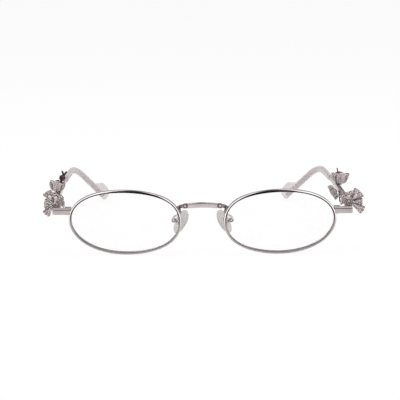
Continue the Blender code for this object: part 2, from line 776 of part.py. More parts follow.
def add_pad_arm(builder, front, word, side, place, box_back):
    """A gooseneck wire from the back of the rim to the pad box."""
    join = side_angle(PAD_ARM_JOIN_ANGLE, side)
    depth = RIM_DEPTH / 2 + SEAT_GAP
    start, straight, leave = [
        rim_matrix(side) @ rim_point(join, side, -PAD_ARM_INSET, depth + back)
        for back in (0.0, PAD_ARM_STRAIGHT, PAD_ARM_LEAVE)]
    end = place @ Vector((box_back - SEAT_GAP, 0, 0))
    approach = place @ Vector((box_back - SEAT_GAP - PAD_ARM_APPROACH, 0, 0))
    bulge = Vector((side * PAD_ARM_LOOP.x, PAD_ARM_LOOP.y, PAD_ARM_LOOP.z))
    loop = (leave + approach) / 2 + bulge
    points = [start] + smooth_points([straight, leave, loop, approach, end], 2)
    curve = wire_curve(f"pad_arm_{word}", points, PAD_ARM_RADIUS)
    builder.add_part(f"pad_arm_{word}", curve, "silver", front)


def end_seat(side):
    """Where the end piece meets the rim, in the whole frame."""
    angle = side_angle(END_JOIN_ANGLE, side)
    return front_matrix() @ rim_matrix(side) @ rim_point(angle, side)


def hinge_point(side):
    """The middle of the hinge's axis."""
    seat = end_seat(side)
    reach = Vector((side * HINGE_REACH, LEG_LENGTH + END_THICKNESS / 2, 0))
    return seat + reach


def end_outline(side):
    """The end piece seen from above, round the hinge axis."""
    seat = end_seat(side)
    front = seat.y - END_THICKNESS / 2 - hinge_point(side).y
    back = front + END_THICKNESS
    inner = END_INNER_OVERLAP - HINGE_REACH
    leg_inner = BARREL_OFFSET
    leg_outer = BARREL_OFFSET + TEMPLE_THICKNESS
    points = [(inner, front)]
    for step in range(CORNER_STEPS + 1):
        angle = math.pi / 2 * (step / CORNER_STEPS - 1)
        points.append((
            leg_outer - END_CORNER_RADIUS * (1 - math.cos(angle)),
            front + END_CORNER_RADIUS * (1 + math.sin(angle))))
    points += [(leg_outer, -HINGE_GAP), (leg_inner, -HINGE_GAP), (leg_inner, back), (inner, back)]
    return [(side * x, y) for x, y in points]


def extruded_outline(builder, name, points, height, parent, material):
    """A flat outline drawn from above and given a height."""
    curve = bpy.data.curves.new(name, "CURVE")
    curve.dimensions = "2D"
    curve.fill_mode = "BOTH"
    curve.extrude = height / 2
    curve.render_resolution_u = 0
    spline = curve.splines.new("POLY")
    spline.points.add(len(points) - 1)
    spline.use_cyclic_u = True
    for target, point in zip(spline.points, points):
        target.co = (*point, 0, 1)
    obj = builder.add_part(name, curve, material, parent)
    return replace_with_mesh(builder, obj, material)


def knuckle_mesh(name, side, toward, low, high):
    """A hinge barrel slice with the web that ties it to its leaf."""
    bm = bmesh.new()
    add_cylinder(bm, BARREL_RADIUS, low, high)
    barrel = mesh_from(bm, name)
    near, far = sorted((toward * (HINGE_GAP + WEB_SETBACK), toward * WEB_LENGTH))
    inner, outer = sorted((side * WEB_INNER, side * (BARREL_OFFSET + WEB_SINK)))
    web = box_mesh(
        f"{name}_web", (inner, near, low + WEB_SETBACK), (outer, far, high - WEB_SETBACK))
    return barrel, web


def add_knuckle(builder, obj, carrier, side, toward, low, high, label):
    """Join a barrel slice and its web to a leaf."""
    barrel, web = knuckle_mesh(f"{obj.name}_{label}", side, toward, low, high)
    combine(obj, "UNION", builder.add_cutter(f"{obj.name}_{label}_web", web, carrier))
    combine(obj, "UNION", builder.add_cutter(f"{obj.name}_{label}", barrel, carrier))


def add_end_pieces(builder, hinge_frames, rings):
    """The bent end pieces with the fixed hinge barrels, and the rim locks behind them."""
    half = END_HEIGHT / 2
    for word, side in SIDES.items():
        carrier = hinge_frames[word]
        name = f"end_piece_{word}"
        piece = extruded_outline(
            builder, name, end_outline(side), END_HEIGHT, carrier, "silver")
        middle = KNUCKLE_HEIGHT / 2 + SEAT_GAP
        end = half - KNUCKLE_SETBACK
        add_knuckle(builder, piece, carrier, side, -1, middle, end, "top")
        add_knuckle(builder, piece, carrier, side, -1, -end, -middle, "bottom")
        bore = cylinder_mesh(
            f"hinge_bore_{word}", HINGE_SCREW_RADIUS + RUNNING_GAP, -END_HEIGHT, END_HEIGHT)
        combine(piece, "DIFFERENCE", builder.add_cutter(f"hinge_bore_{word}", bore, carrier))
        combine(piece, "DIFFERENCE", rings[word])
        add_screw(builder, f"hinge_screw_{word}", carrier, HINGE_SCREW_RADIUS, half)
        add_rim_lock(builder, carrier, word, side, rings[word])


def add_screw(builder, name, carrier, radius, half, place=None):
    """An upright screw with its head on top."""
    head = half + SEAT_GAP
    profile = [
        (0, head + SCREW_HEAD_HEIGHT), (SCREW_HEAD_RADIUS, head + SCREW_HEAD_HEIGHT),
        (SCREW_HEAD_RADIUS, head), (radius, head), (radius, -half), (0, -half)]
    mesh = turned_mesh(name, profile)
    builder.add_part(name, mesh, "screw_steel", carrier, place)


def add_rim_lock(builder, carrier, word, side, ring):
    """The block and screw that close the rim round its lens, behind the end piece."""
    seat = end_seat(side)
    origin = hinge_point(side)
    plate_back = seat.y + END_THICKNESS / 2 + SEAT_GAP - origin.y
    inner = side * (END_INNER_OVERLAP - HINGE_REACH)
    outer = inner + side * LOCK_WIDTH
    half = END_HEIGHT / 2
    low_x, high_x = sorted((inner, outer))
    name = f"rim_lock_{word}"
    mesh = box_mesh(name, (low_x, plate_back, -half), (high_x, plate_back + LOCK_DEPTH, half))
    block = builder.add_part(name, mesh, "silver", carrier)
    combine(block, "DIFFERENCE", ring)
    place = Matrix.Translation(
        (inner + side * LOCK_WIDTH * LOCK_SCREW_SHARE, plate_back + LOCK_DEPTH / 2, 0))
    bore = cylinder_mesh(
        f"lock_bore_{word}", LOCK_SCREW_RADIUS + RUNNING_GAP, -END_HEIGHT, END_HEIGHT)
    cutter = builder.add_cutter(f"lock_bore_{word}", bore, carrier, place)
    combine(block, "DIFFERENCE", cutter)
    turn_over = place @ Matrix.Rotation(math.pi, 4, "X")
    add_screw(builder, f"rim_lock_screw_{word}", carrier, LOCK_SCREW_RADIUS, half, turn_over)


def arm_point(back):
    """A point on the arm's centre line, for the left, at a distance behind the hinge."""
    share = max(0.0, back - ARM_CURVE_START) / (ARM_LENGTH - ARM_CURVE_START)
    return Vector((TEMPLE_X - ARM_CURVE * share ** 2, back, arm_height(back)))


def arm_height(back):
    """Height of the arm's centre line at a distance behind the hinge."""
    return back * math.tan(ARM_RISE)


def temple_path(side):
    """The temple's centre line from the hinge to the end of the tip, at zero toe-in."""
    points = [arm_point(HINGE_GAP)]
    points += [arm_point(ARM_LENGTH * share) for share in ARM_SHARES]
    bend = arm_point(ARM_LENGTH)
    inward = -2 * ARM_CURVE / (ARM_LENGTH - ARM_CURVE_START)
    forward = Vector((inward, 1, math.tan(ARM_RISE))).normalized()
    turn = Vector((-math.sin(EAR_BEND_LEAN), 0, -math.cos(EAR_BEND_LEAN)))
    turn = (turn - forward * turn.dot(forward)).normalized()
    for step in range(EAR_BEND_STEPS + 1):
        angle = EAR_BEND_ANGLE * step / EAR_BEND_STEPS
        points.append(bend + EAR_BEND_RADIUS * (
            math.sin(angle) * forward + (1 - math.cos(angle)) * turn))
    ahead = math.cos(EAR_BEND_ANGLE) * forward + math.sin(EAR_BEND_ANGLE) * turn
    end = points[-1]
    points += [end + ahead * (TIP_LENGTH * share) for share in TIP_SHARES]
    return [Vector((side * point.x, point.y, point.z)) for point in points]


def temple_stations(side):
    """Path points with their axes and their distance to the end of the tip."""
    points = temple_path(side)

    def reference(share):
        low, high = TIP_TURN_SPAN
        blend = min(1.0, max(0.0, (share - low) / (high - low)))
        return Vector((-side * TIP_TURN.x * blend, TIP_TURN.y * blend, TIP_TURN.z))

    axes = path_axes(points, reference)
    left = [0.0]
    for near, far in zip(reversed(points[:-1]), reversed(points[1:])):
        left.append(left[-1] + (far - near).length)
    left.reverse()
    return [(point, up, across, distance)
            for point, (_, up, across), distance in zip(points, axes, left)]


def round_ring(point, up, across, above, below, half_across):
    """A rounded section that may reach further above its point than below."""
    ring = []
    for index in range(SECTION_POINTS):
        angle = 2 * math.pi * (index + 0.5) / SECTION_POINTS
        height = math.copysign(abs(math.cos(angle)) ** SECTION_SQUARING, math.cos(angle))
        width = math.copysign(abs(math.sin(angle)) ** SECTION_SQUARING, math.sin(angle))
        reach = above if height > 0 else below
        ring.append(point + up * (height * reach) + across * (width * half_across))
    return ring


def sleeve_reach(distance, mouth):
    """How far the tip reaches above and below its core, by distance to its end."""
    taper = min(1.0, (mouth - distance) / SLEEVE_TAPER)
    half = SLEEVE_HEIGHT / 2 * (SLEEVE_MOUTH_SHARE + (1 - SLEEVE_MOUTH_SHARE) * taper)
    above = below = half
    if distance < LOBE_END:
        above = LOBE_REACH * math.sqrt(1 - (1 - distance / LOBE_END) ** 2)
    elif distance < LOBE_LENGTH:
        share = min(1.0, (LOBE_LENGTH - distance) / LOBE_SWELL)
        above += (LOBE_REACH - half) * share ** 2 * (3 - 2 * share)
    if distance < LOBE_END_BELOW:
        below *= math.sqrt(1 - (1 - distance / LOBE_END_BELOW) ** 2)
    return above, below


def tip_stations(side):
    """The path's stations with extra ones in the lobe, where the tip widens."""
    stations = temple_stations(side)
    coarse = [station for station in stations if station[3] > LOBE_LENGTH]
    last_point, _, _, last_distance = coarse[-1]
    end_point, up, across, _ = stations[-1]
    result = coarse[:]
    for share in LOBE_STATIONS:
        distance = share * LOBE_LENGTH
        point = end_point.lerp(last_point, distance / last_distance)
        result.append((point, up, across, distance))
    return result


def add_temples(builder, temple_frames):
    """The flat metal arms, whose thin cores run on inside clear tips."""
    for word, side in SIDES.items():
        stations = tip_stations(side)
        start = path_length(side) - SLEEVE_START
        arm = [s for s in stations if s[3] >= start]
        core = [s for s in stations if CORE_END_SPACE < s[3] < start]
        add_temple_arm(builder, temple_frames[word], word, side, arm, core)
        add_sleeve(builder, temple_frames[word], word, stations, core)


def path_length(side):
    """Length of the temple from the hinge to the end of its tip."""
    return temple_stations(side)[0][3]


def add_temple_arm(builder, carrier, word, side, arm, core):
    """The arm and its core in one piece, with the moving hinge barrel."""
    name = f"temple_arm_{word}"
    rings = [round_ring(point, up, across, TEMPLE_HEIGHT / 2, TEMPLE_HEIGHT / 2,
                        TEMPLE_THICKNESS / 2) for point, up, across, _ in arm]
    point, up, across, _ = core[0]
    half = CORE_HEIGHT / 2
    step_back = arm[-1][0].lerp(point, CORE_STEP_SHARE)
    rings.append(round_ring(step_back, up, across, half, half, CORE_THICKNESS / 2))
    rings += [round_ring(point, up, across, half, half, CORE_THICKNESS / 2)
              for point, up, across, _ in core]
    piece = builder.add_part(name, loft(name, rings), "silver", carrier)
    knuckle = KNUCKLE_HEIGHT / 2
    add_knuckle(builder, piece, carrier, side, 1, -knuckle, knuckle, "middle")
    bore = cylinder_mesh(
        f"temple_bore_{word}", HINGE_SCREW_RADIUS + RUNNING_GAP, -END_HEIGHT, END_HEIGHT)
    combine(piece, "DIFFERENCE", builder.add_cutter(f"temple_bore_{word}", bore, carrier))


def add_sleeve(builder, carrier, word, stations, core):
    """The clear tip: its outside from the lobe to the mouth, then its bore."""
    outside = [s for s in stations if s[3] <= core[0][3]]
    rings = []
    mouth = outside[0][3]
    for point, up, across, distance in reversed(outside):
        above, below = sleeve_reach(distance, mouth)
        rounding = min(1.0, LOBE_END_THICKNESS + distance / LOBE_END_BELOW)
        rings.append(round_ring(
            point, up, across, above, below, SLEEVE_THICKNESS / 2 * rounding))
    bore_half = CORE_HEIGHT / 2 + SEAT_GAP
    bore_across = CORE_THICKNESS / 2 + SEAT_GAP
    for point, up, across, _ in core:
        rings.append(round_ring(point, up, across, bore_half, bore_half, bore_across))
    last_point, up, across, _ = core[-1]
    beyond = last_point + (last_point - core[-2][0]).normalized() * SEAT_GAP
    rings.append(round_ring(beyond, up, across, bore_half, bore_half, bore_across))
    mesh = loft(f"temple_tip_{word}", rings)
    builder.add_part(f"temple_tip_{word}", mesh, "clear_tip", carrier)


def petal_lift(along, across):
    """Height of a petal's face at shares of its length and of its half width."""
    return PETAL_CUP * (along ** 2 * PETAL_END_LIFT + across ** 2 * along * PETAL_SIDE_LIFT)


def petal_surface(name, length, width):
    """A cupped fan with a scalloped edge, along +X from the hub, its face towards +Z."""
    bm = bmesh.new()
    bmesh.ops.create_grid(bm, x_segments=3, y_segments=6, size=1)
    for vert in bm.verts:
        along = (vert.co.x + 1) / 2
        across = vert.co.y
        widening = (width / 2 - PETAL_BASE_HALF_WIDTH) * along ** PETAL_FLARE
        wave = abs(math.cos(PETAL_SCALLOP_WAVES * math.pi * across))
        run = (length - PETAL_SCALLOP - PETAL_START) * along * (1 - PETAL_ROUNDING * across ** 2)
        vert.co = (
            PETAL_START + run + PETAL_SCALLOP * wave * along ** 2,
            across * (PETAL_BASE_HALF_WIDTH + widening),
            petal_lift(along, across))
    mesh = mesh_from(bm, name)
    if mesh.polygons[0].normal.z < 0:
        mesh.flip_normals()
    return mesh


def petal_matrix(side, direction, lean):
    """Turns a petal from the hub towards its direction, leaning forward."""
    angle = direction * DEGREE
    tilt = lean * DEGREE
    along = Vector((math.cos(angle) * math.cos(tilt), -math.sin(tilt),
                    math.sin(angle) * math.cos(tilt)))
    facing = Vector((0, -1, 0))
    facing = (facing - along * facing.dot(along)).normalized()
    for vector in (along, facing):
        vector.x *= side
    across = facing.cross(along)
    return Matrix((along, across, facing)).transposed().to_4x4()


def stone_mesh(name):
    """An oval cut stone with a flat table, standing on the XY plane."""
    bm = bmesh.new()
    place = Matrix.Translation((0, 0, STONE_HEIGHT / 2))
    bmesh.ops.create_cone(
        bm, cap_ends=True, segments=10, radius1=STONE_LENGTH / 2,
        radius2=STONE_LENGTH / 2 * STONE_TABLE_SHARE, depth=STONE_HEIGHT, matrix=place)
    bmesh.ops.scale(bm, vec=(1, STONE_WIDTH / STONE_LENGTH, 1), verts=bm.verts)
    return mesh_from(bm, name)


def hub_place(side):
    """The hub's centre in the temple's frame, beside and above the arm."""
    outward = TEMPLE_X + TEMPLE_THICKNESS / 2 + SEAT_GAP
    return Vector((side * outward, HUB_BACK, HUB_RISE))


def dome_mesh(name, side):
    """Half a ball with its flat side on the arm and its round side outward."""
    bm = bmesh.new()
    bmesh.ops.create_uvsphere(bm, u_segments=12, v_segments=8, radius=HUB_RADIUS)
    everything = bm.verts[:] + bm.edges[:] + bm.faces[:]
    bmesh.ops.bisect_plane(
        bm, geom=everything, plane_co=(0, 0, 0), plane_no=(side, 0, 0), clear_inner=True)
    open_edges = [edge for edge in bm.edges if edge.is_boundary]
    bmesh.ops.holes_fill(bm, edges=open_edges)
    return mesh_from(bm, name)


def add_blossom(builder, carrier, word, side):
    """The large blossom near the hinge: a hub, five fan petals and two large stones."""
    centre = builder.add_empty(
        f"blossom_centre_{word}", carrier, Matrix.Translation(hub_place(side)))
    name = f"blossom_{word}_hub"
    builder.add_part(name, dome_mesh(name, side), "silver", centre)
    for petal, (direction, lean, length, width) in PETALS.items():
        name = f"blossom_{word}_petal_{petal}"
        place = petal_matrix(side, direction, lean)
        mesh = petal_surface(name, length, width)
        obj = builder.add_part(name, mesh, "silver", centre, place)
        skin = obj.modifiers.new("thickness", "SOLIDIFY")
        skin.thickness = PETAL_THICKNESS
        skin.offset = -1
        if petal in PETAL_STONES:
            middle = length * PETAL_STONES[petal]
            seat = place @ Matrix.Translation((middle, 0, stone_height(length, width, middle)))
            stone = stone_mesh(f"blossom_{word}_stone_{petal}")
            builder.add_part(
                f"blossom_{word}_stone_{petal}", stone, "crystal", centre, seat)


def stone_height(length, width, middle):
    """Height of the stone's base over the petal, clear of its cupped face."""
    reach = length - PETAL_SCALLOP - PETAL_START
    end = min((middle + STONE_LENGTH / 2 - PETAL_START) / reach, 1.0)
    share = (middle - PETAL_START) / reach
    half = PETAL_BASE_HALF_WIDTH + (width / 2 - PETAL_BASE_HALF_WIDTH) * share ** PETAL_FLARE
    at_side = petal_lift(share, STONE_WIDTH / 2 / half)
    return max(petal_lift(end, 0.0), at_side) + SEAT_GAP


def bud_seat(word, side):
    """Where the upper bud's neck stands, over the arm."""
    back = BUD_BACK[word]
    outward = TEMPLE_X + BUD_OUTWARD[word]
    return Vector((side * outward, back, arm_height(back) + BUD_RISE[word]))


def add_stem(builder, carrier, word, side):
    """A rod from the hub back along the arm's outer side, closer to it behind the bud."""
    hub = hub_place(side)
    sink = BUD_NECK_RADIUS * math.sin(abs(BUD_LEAN[word]))
    top = bud_seat(word, side) - Vector((0, 0, STEM_RADIUS + SEAT_GAP + sink))
    start = hub + Vector((side * (STEM_RADIUS + SEAT_GAP), HUB_RADIUS + SEAT_GAP, 0))
    leave = start + Vector((0, STEM_RADIUS, 0))
    beside = side * (TEMPLE_X + TEMPLE_THICKNESS / 2 + STEM_RADIUS + 2 * SEAT_GAP)
    past = top + Vector((0, BUD_NECK_RADIUS, 0))
    foot = Vector((beside, past.y + STEM_TAIL, past.z))
    tail = foot + Vector((0, STEM_TAIL / 2, 0))
    points = [start] + smooth_points([leave, top, past, foot, tail], STEM_STEPS)
    rod = builder.add_part(
        f"stem_{word}", wire_curve(f"stem_{word}", points, STEM_RADIUS), "silver", carrier)
    split_faces(replace_with_mesh(builder, rod, "silver").data)


def bud_mesh(name, scale, height_scale):
    """A flared cup with wavy lobes, its neck at the origin and its mouth up."""
    mouth = BUD_MOUTH_RADIUS * scale
    tall = BUD_HEIGHT * height_scale
    rings = [bud_ring(radius * mouth, height * tall, height) for radius, height in BUD_PROFILE]
    for radius, height in reversed(BUD_PROFILE[BUD_INSIDE_FROM:]):
        rings.append(bud_ring(radius * mouth - BUD_WALL, height * tall + BUD_LIP_RISE, height))
    rings.append(bud_ring(BUD_BORE_RADIUS, BUD_FLOOR * tall, BUD_FLOOR_WAVE))
    return loft(name, rings)


def bud_ring(radius, height, share):
    """One wavy ring of a bud, wavier towards its mouth."""
    ring = []
    for step in range(BUD_STEPS):
        angle = 2 * math.pi * step / BUD_STEPS
        wave = 1 + BUD_LOBE_SHARE * share * math.cos(BUD_LOBES * angle)
        ring.append(Vector((
            radius * wave * math.cos(angle), radius * wave * math.sin(angle), height)))
    return ring


def add_buds(builder, temple_frames):
    """The upper bud on each temple, with its bead or wire, and the left's lower bud."""
    for word, side in SIDES.items():
        lean = Matrix.Rotation(side * BUD_LEAN[word], 4, "Y")
        place = Matrix.Translation(bud_seat(word, side)) @ lean
        name = f"bud_{word}_upper"
        scale = BUD_SCALE[word]
        builder.add_part(
            name, bud_mesh(name, scale, scale), "silver", temple_frames[word], place)
        if word == "right":
            add_bead(builder, temple_frames[word], place, scale)
        else:
            add_bud_wire(
                builder, temple_frames[word], "bud_wire_upper", place, scale, WIRE_LENGTH,
                UPPER_WIRE_RUN)
    side = SIDES["left"]
    lean = Matrix.Rotation(-side * LOW_BUD_TURN, 4, "Y")
    reach = TEMPLE_THICKNESS / 2 + SEAT_GAP
    root = arm_point(LOW_BUD_BACK) - Vector((side * reach, 0, 0))
    drop = BUD_NECK_RADIUS * abs(math.cos(LOW_BUD_TURN))
    place = Matrix.Translation(root - Vector((side * drop, 0, 0))) @ lean
    mesh = bud_mesh("bud_left_lower", LOW_BUD_WIDTH_SCALE, LOW_BUD_HEIGHT_SCALE)
    builder.add_part("bud_left_lower", mesh, "silver", temple_frames["left"], place)
    add_low_wire(builder, temple_frames["left"], side)


def add_bud_wire(builder, carrier, name, place, scale, length, run):
    """A straight wire that stands in a bud."""
    floor = BUD_FLOOR * BUD_HEIGHT * scale + 2 * SEAT_GAP
    top = BUD_HEIGHT * scale + length
    points = [Vector((0, 0, floor)), Vector((run / 2, 0, (floor + top) / 2)),
              Vector((run, 0, top))]
    curve = wire_curve(name, points, WIRE_RADIUS)
    builder.add_part(name, curve, "dark_metal", carrier, place)


def add_low_wire(builder, carrier, side):
    """A straight wire that hangs from the arm's underside behind the lower bud."""
    top = arm_point(LOW_BUD_BACK) - Vector((0, 0, TEMPLE_HEIGHT / 2 + SEAT_GAP))
    run = Vector((side * LOW_WIRE_RUN, 0, -LOW_WIRE_LENGTH))
    curve = wire_curve("bud_wire_lower", [top, top + run / 2, top + run], WIRE_RADIUS)
    builder.add_part("bud_wire_lower", curve, "dark_metal", carrier)


def add_bead(builder, carrier, place, scale):
    """A polished bead on a stalk in the right bud, with two fine wires above it."""
    floor = BUD_FLOOR * BUD_HEIGHT * scale + SEAT_GAP
    centre = BUD_HEIGHT * scale + BEAD_LIFT + BEAD_RADIUS
    profile = [(0, floor), (STALK_RADIUS, floor)]
    start = math.asin(STALK_RADIUS / BEAD_RADIUS)
    for step in range(BEAD_STEPS + 1):
        angle = start + (math.pi - start) * step / BEAD_STEPS
        radius = BEAD_RADIUS * math.sin(angle)
        profile.append((max(radius, 0.0), centre - BEAD_RADIUS * math.cos(angle)))
    mesh = turned_mesh("bud_bead", profile)
    for vert in mesh.vertices:
        vert.co.x += BEAD_OFFSET * (vert.co.z - floor) / (centre - floor)
    builder.add_part("bud_bead", mesh, "dark_metal", carrier, place)
    for label, turn in (("inner", 1), ("outer", -1)):
        base = centre + (BEAD_RADIUS + SEAT_GAP) * math.cos(WIRE_SPREAD)
        foot = BEAD_OFFSET + turn * (BEAD_RADIUS + SEAT_GAP) * math.sin(WIRE_SPREAD)
        foot += WIRE_OFFSET
        points = [Vector((foot + turn * run, 0, base + WIRE_LENGTH * share))
                  for run, share in BEAD_WIRE_SHAPE]
        name = f"bead_wire_{label}"
        curve = wire_curve(name, points, WIRE_RADIUS)
        builder.add_part(name, curve, "dark_metal", carrier, place)


def place_on_origin(builder):
    """Move the frame so that the middle of its base is the origin."""
    bpy.context.view_layer.update()
    graph = bpy.context.evaluated_depsgraph_get()
    low = Vector((math.inf,) * 3)
    high = Vector((-math.inf,) * 3)
    for obj in builder.parts.objects:
        if obj.type == "EMPTY":
            continue
        shape = obj.evaluated_get(graph).to_mesh()
        for vert in shape.vertices:
            place = obj.matrix_world @ vert.co
            low = Vector(map(min, low, place))
            high = Vector(map(max, high, place))
    middle = (low + high) / 2
    builder.root.location = (0, -middle.y, -low.z)


def main():
    """Build the whole frame."""
    clear_scene()
    builder = Builder()
    front = builder.add_empty("front_frame", builder.root, front_matrix())
    rim_frames = {}
    hinge_frames = {}
    temple_frames = {}
    for word, side in SIDES.items():
        rim_frames[word] = builder.add_empty(f"rim_frame_{word}", front, rim_matrix(side))
        hinge = Matrix.Translation(hinge_point(side))
        hinge_frames[word] = builder.add_empty(f"hinge_axis_{word}", builder.root, hinge)
        toe_in = Matrix.Rotation(side * TOE_IN[word], 4, "Z")
        temple_frames[word] = builder.add_empty(f"temple_frame_{word}", hinge_frames[word], toe_in)
    bpy.context.view_layer.update()
    rings = add_rims(builder, rim_frames)
    add_lenses(builder, rim_frames)
    add_bridge(builder, front)
    add_nose_pads(builder, front)
    add_end_pieces(builder, hinge_frames, rings)
    add_temples(builder, temple_frames)
    for word, side in SIDES.items():
        add_blossom(builder, temple_frames[word], word, side)
        add_stem(builder, temple_frames[word], word, side)
    add_buds(builder, temple_frames)
    place_on_origin(builder)


main()
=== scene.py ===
"""Looks of an oval metal eyeglass frame with clear tips and crystal blossoms.

A panel in the 3D view's sidebar lists one operator for each group of pieces and one for the
stage. The tables are in millimetres unless they say otherwise, the panel's settings in metres.
X runs to the wearer's left, Y back along the temples, Z up.
"""
import math
from collections import Counter
from contextlib import contextmanager

import bmesh
import bpy
from mathutils import Matrix, Vector


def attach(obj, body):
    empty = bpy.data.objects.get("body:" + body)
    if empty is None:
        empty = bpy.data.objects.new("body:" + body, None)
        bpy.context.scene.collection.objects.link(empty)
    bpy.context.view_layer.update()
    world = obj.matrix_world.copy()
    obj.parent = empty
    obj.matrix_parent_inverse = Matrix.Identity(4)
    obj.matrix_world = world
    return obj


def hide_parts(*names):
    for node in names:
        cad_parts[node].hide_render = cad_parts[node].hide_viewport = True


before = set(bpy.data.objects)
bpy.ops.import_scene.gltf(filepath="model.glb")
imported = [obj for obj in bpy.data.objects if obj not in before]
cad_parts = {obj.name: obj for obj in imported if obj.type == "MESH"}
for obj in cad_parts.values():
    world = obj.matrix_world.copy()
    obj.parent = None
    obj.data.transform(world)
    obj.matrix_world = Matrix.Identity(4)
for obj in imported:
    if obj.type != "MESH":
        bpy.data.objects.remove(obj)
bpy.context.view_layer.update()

bl_info = {
    "name": "Blossom Eyeglass Frame",
    "version": (1, 0, 0),
    "blender": (4, 5, 0),
    "location": "3D View > Sidebar > Eyeglasses",
    "description": "Dresses a metal eyeglass frame with polished metal, clear tips and crystals",
    "category": "Object",
}

MM = 0.001
SIDES = {"left": 1, "right": -1}
# steps from which slopes are taken: an angle in radians, and a share of a length
ANGLE_STEP = 0.001
SHARE_STEP = 0.02
# widths of rounded edges in millimetres
EDGES = {"bar": 0.18, "collar": 0.09, "cage": 0.14, "insert": 0.08, "tab": 0.15, "lock": 0.05,
         "barrel": 0.07, "web": 0.05}

# Front, measured in millimetres
FRONT_ORIGIN = (0.0, -61.183, 15.77)
FRONT_TILT = math.radians(8)
FRONT_WRAP = math.radians(3.5)
LENS_CENTRE_X = 36.5
LENS_WIDTH = 51.2
LENS_HEIGHT = 30.2
LENS_CURVE_RADIUS = 100.0
LENS_INSET = 0.32
OVAL_SQUARENESS = 0.015
OVAL_NOSE_SQUARENESS = 0.008
OVAL_STEPS = 192
RIM_DEPTH = 1.8
# the rim's section from its outer side to the lens groove, as shares of its half width and
# half depth: the flat side, the corner's angles, centre and radii, the crown, the groove
# (its depths in millimetres)
RIM_SIDE = 0.55
RIM_CORNER_ANGLES = (0.5, 1.0, 1.4)
RIM_CORNER_CENTRE, RIM_CORNER_RADII = (0.45, 0.6), (0.5, 0.4)
RIM_CROWN = ((0.0, 1.0), (-0.55, 0.97), (-0.9, 0.85), (-1.0, 0.62))
RIM_GROOVE = ((-1.0, 0.42), (-0.45, 0.08))
# how fast the upper half's painted highlight sets in
RIM_UPPER_SPREAD = 1.6
# the top's stretch of painted shade: its middle towards the nose, and its half length
RIM_SHADOW = (5.5, 14.0)

# Hinges and temples
HINGE = (67.949, -51.54, 20.706)
# the end piece's layers: bottom, top, setback and edge rounding
END_LAYERS = ((-1.6, 0.58, 0.0, 0.14), (0.5, 0.9, 0.3, 0.02), (0.78, 1.6, 0.1, 0.16))
# the end piece's outline seen from above, from the hinge
END_FRONT, END_BACK, END_BUTT = -6.2, -4.8, -0.15
END_INNER, END_OUTER, END_LEG = -6.4, 2.45, 1.25
END_CORNER, END_CORNER_STEPS, END_FILLET = 1.6, 12, 0.25
LOCK_SIZE = (3.0, 2.0, 3.2)
LOCK_CENTRE = (-4.9, -3.68, 0.0)
LOCK_SEAM_HALF, LOCK_SEAM_DEPTH = 0.07, 0.15
# screws: head radius, head height, shank radius, length
HINGE_SCREW = (0.8, 0.4, 0.45, 3.3)
HINGE_SCREW_LIFT = 1.72
LOCK_SCREW = (0.8, 0.4, 0.5, 3.3)
LOCK_SCREW_PLACE = (-4.6, -3.68, -1.72)
PAD_SCREW = (0.64, 0.4, 0.35, 2.6)
PAD_SCREW_LIFT = 1.42
# shares of a head: the crown's inset and rise, and the slot's size and height
SCREW_INSET, SCREW_RISE = 0.18, 0.12
SLOT_WIDTH, SLOT_LENGTH, SLOT_DEPTH, SLOT_LIFT = 0.32, 3.0, 0.9, 1.15
FIXED_KNUCKLES = ((0.62, 1.5), (-1.5, -0.62))
MOVING_KNUCKLE = (-0.5, 0.5)
BARREL_RADIUS = 1.1
# the web between barrel and leaf: section, what its height leaves free, and place
WEB_SIZE, WEB_INSET = (1.3, 1.35), 0.12
WEB_OFFSET = (0.88, 0.92)
TEMPLE_TURN = {"left": math.radians(3.3), "right": math.radians(-0.6)}
TEMPLE_OUT = 1.85
ARM_LENGTH = 76.5
ARM_RISE = math.radians(1.9)
ARM_CURVE = 1.15
ARM_CURVE_START = 50.0
EAR_BEND_RADIUS = 27.0
EAR_BEND_ANGLE = math.radians(44)
EAR_BEND_LEAN = math.radians(27.5)
TEMPLE_LENGTH = 125.2
# the temple's height axis turns between these distances to the end
TIP_TURN = (0.72, 0.15, 0.7)
TIP_TURN_SPAN = (48.2, 27.2)
ARM_SIZE = (1.2, 2.6)
CORE_SIZE = (1.1, 2.3)
CORE_OVERLAP = 0.4
SLEEVE_SIZE = (2.4, 3.3)
SLEEVE_LENGTH = 65.6
SLEEVE_MOUTH_SHARE = 0.86
SLEEVE_TAPER = 20.0
SLEEVE_LIP, SLEEVE_LIP_RUN = 0.82, 0.6
SLEEVE_END = 0.03
# how square the sections are: 0 is a rectangle, 1 an ellipse
ARM_POWER, CORE_POWER, SLEEVE_POWER = 0.5, 0.55, 0.62
# distances between sections at the end, in the bend, along the arm and at the start
END_STEP, BEND_STEP, ARM_STEP, START_STEP = 0.12, 0.5, 2.0, 0.15
BEND_ZONE = 50.0
ARM_END = 70.0
CORE_END = 3.2
LOBE_LENGTH = 16.0
LOBE_REACH = 4.9
LOBE_SWELL = 5.5
LOBE_END = 8.0
LOBE_END_BELOW = 2.5
LOBE_END_THICKNESS = 0.4

# Bridge and nose pads, for the wearer's left
BRIDGE_BAR = ((0.0, -63.16, 24.78), (3.40, -63.14, 24.66), (6.80, -62.88, 24.32))
BRIDGE_NECK = ((6.92, -62.81, 24.33), (9.02, -62.21, 24.05), (10.85, -60.58, 23.19),
               (11.54, -60.49, 22.79))
BRIDGE_SIZE = (1.2, 2.5)
BRIDGE_POWER, BRIDGE_CROWN = 0.42, 0.12
NECK_SHARE = 0.68
# the soldered joint at the rim: half sizes, depth and pitch of its bands, place and lean
JOINT_SIZE = (0.72, 0.8, 1.9)
JOINT_BAND, JOINT_BANDS = 0.16, 10
JOINT_CENTRE = (10.8, -61.0, 21.9)
JOINT_LEAN = math.radians(22)
# the painted dark reflection on the bar's crest, an oval: middle, half length, lower edge, height
BRIDGE_CREST = (-0.56, 2.3, 25.3, 0.35)
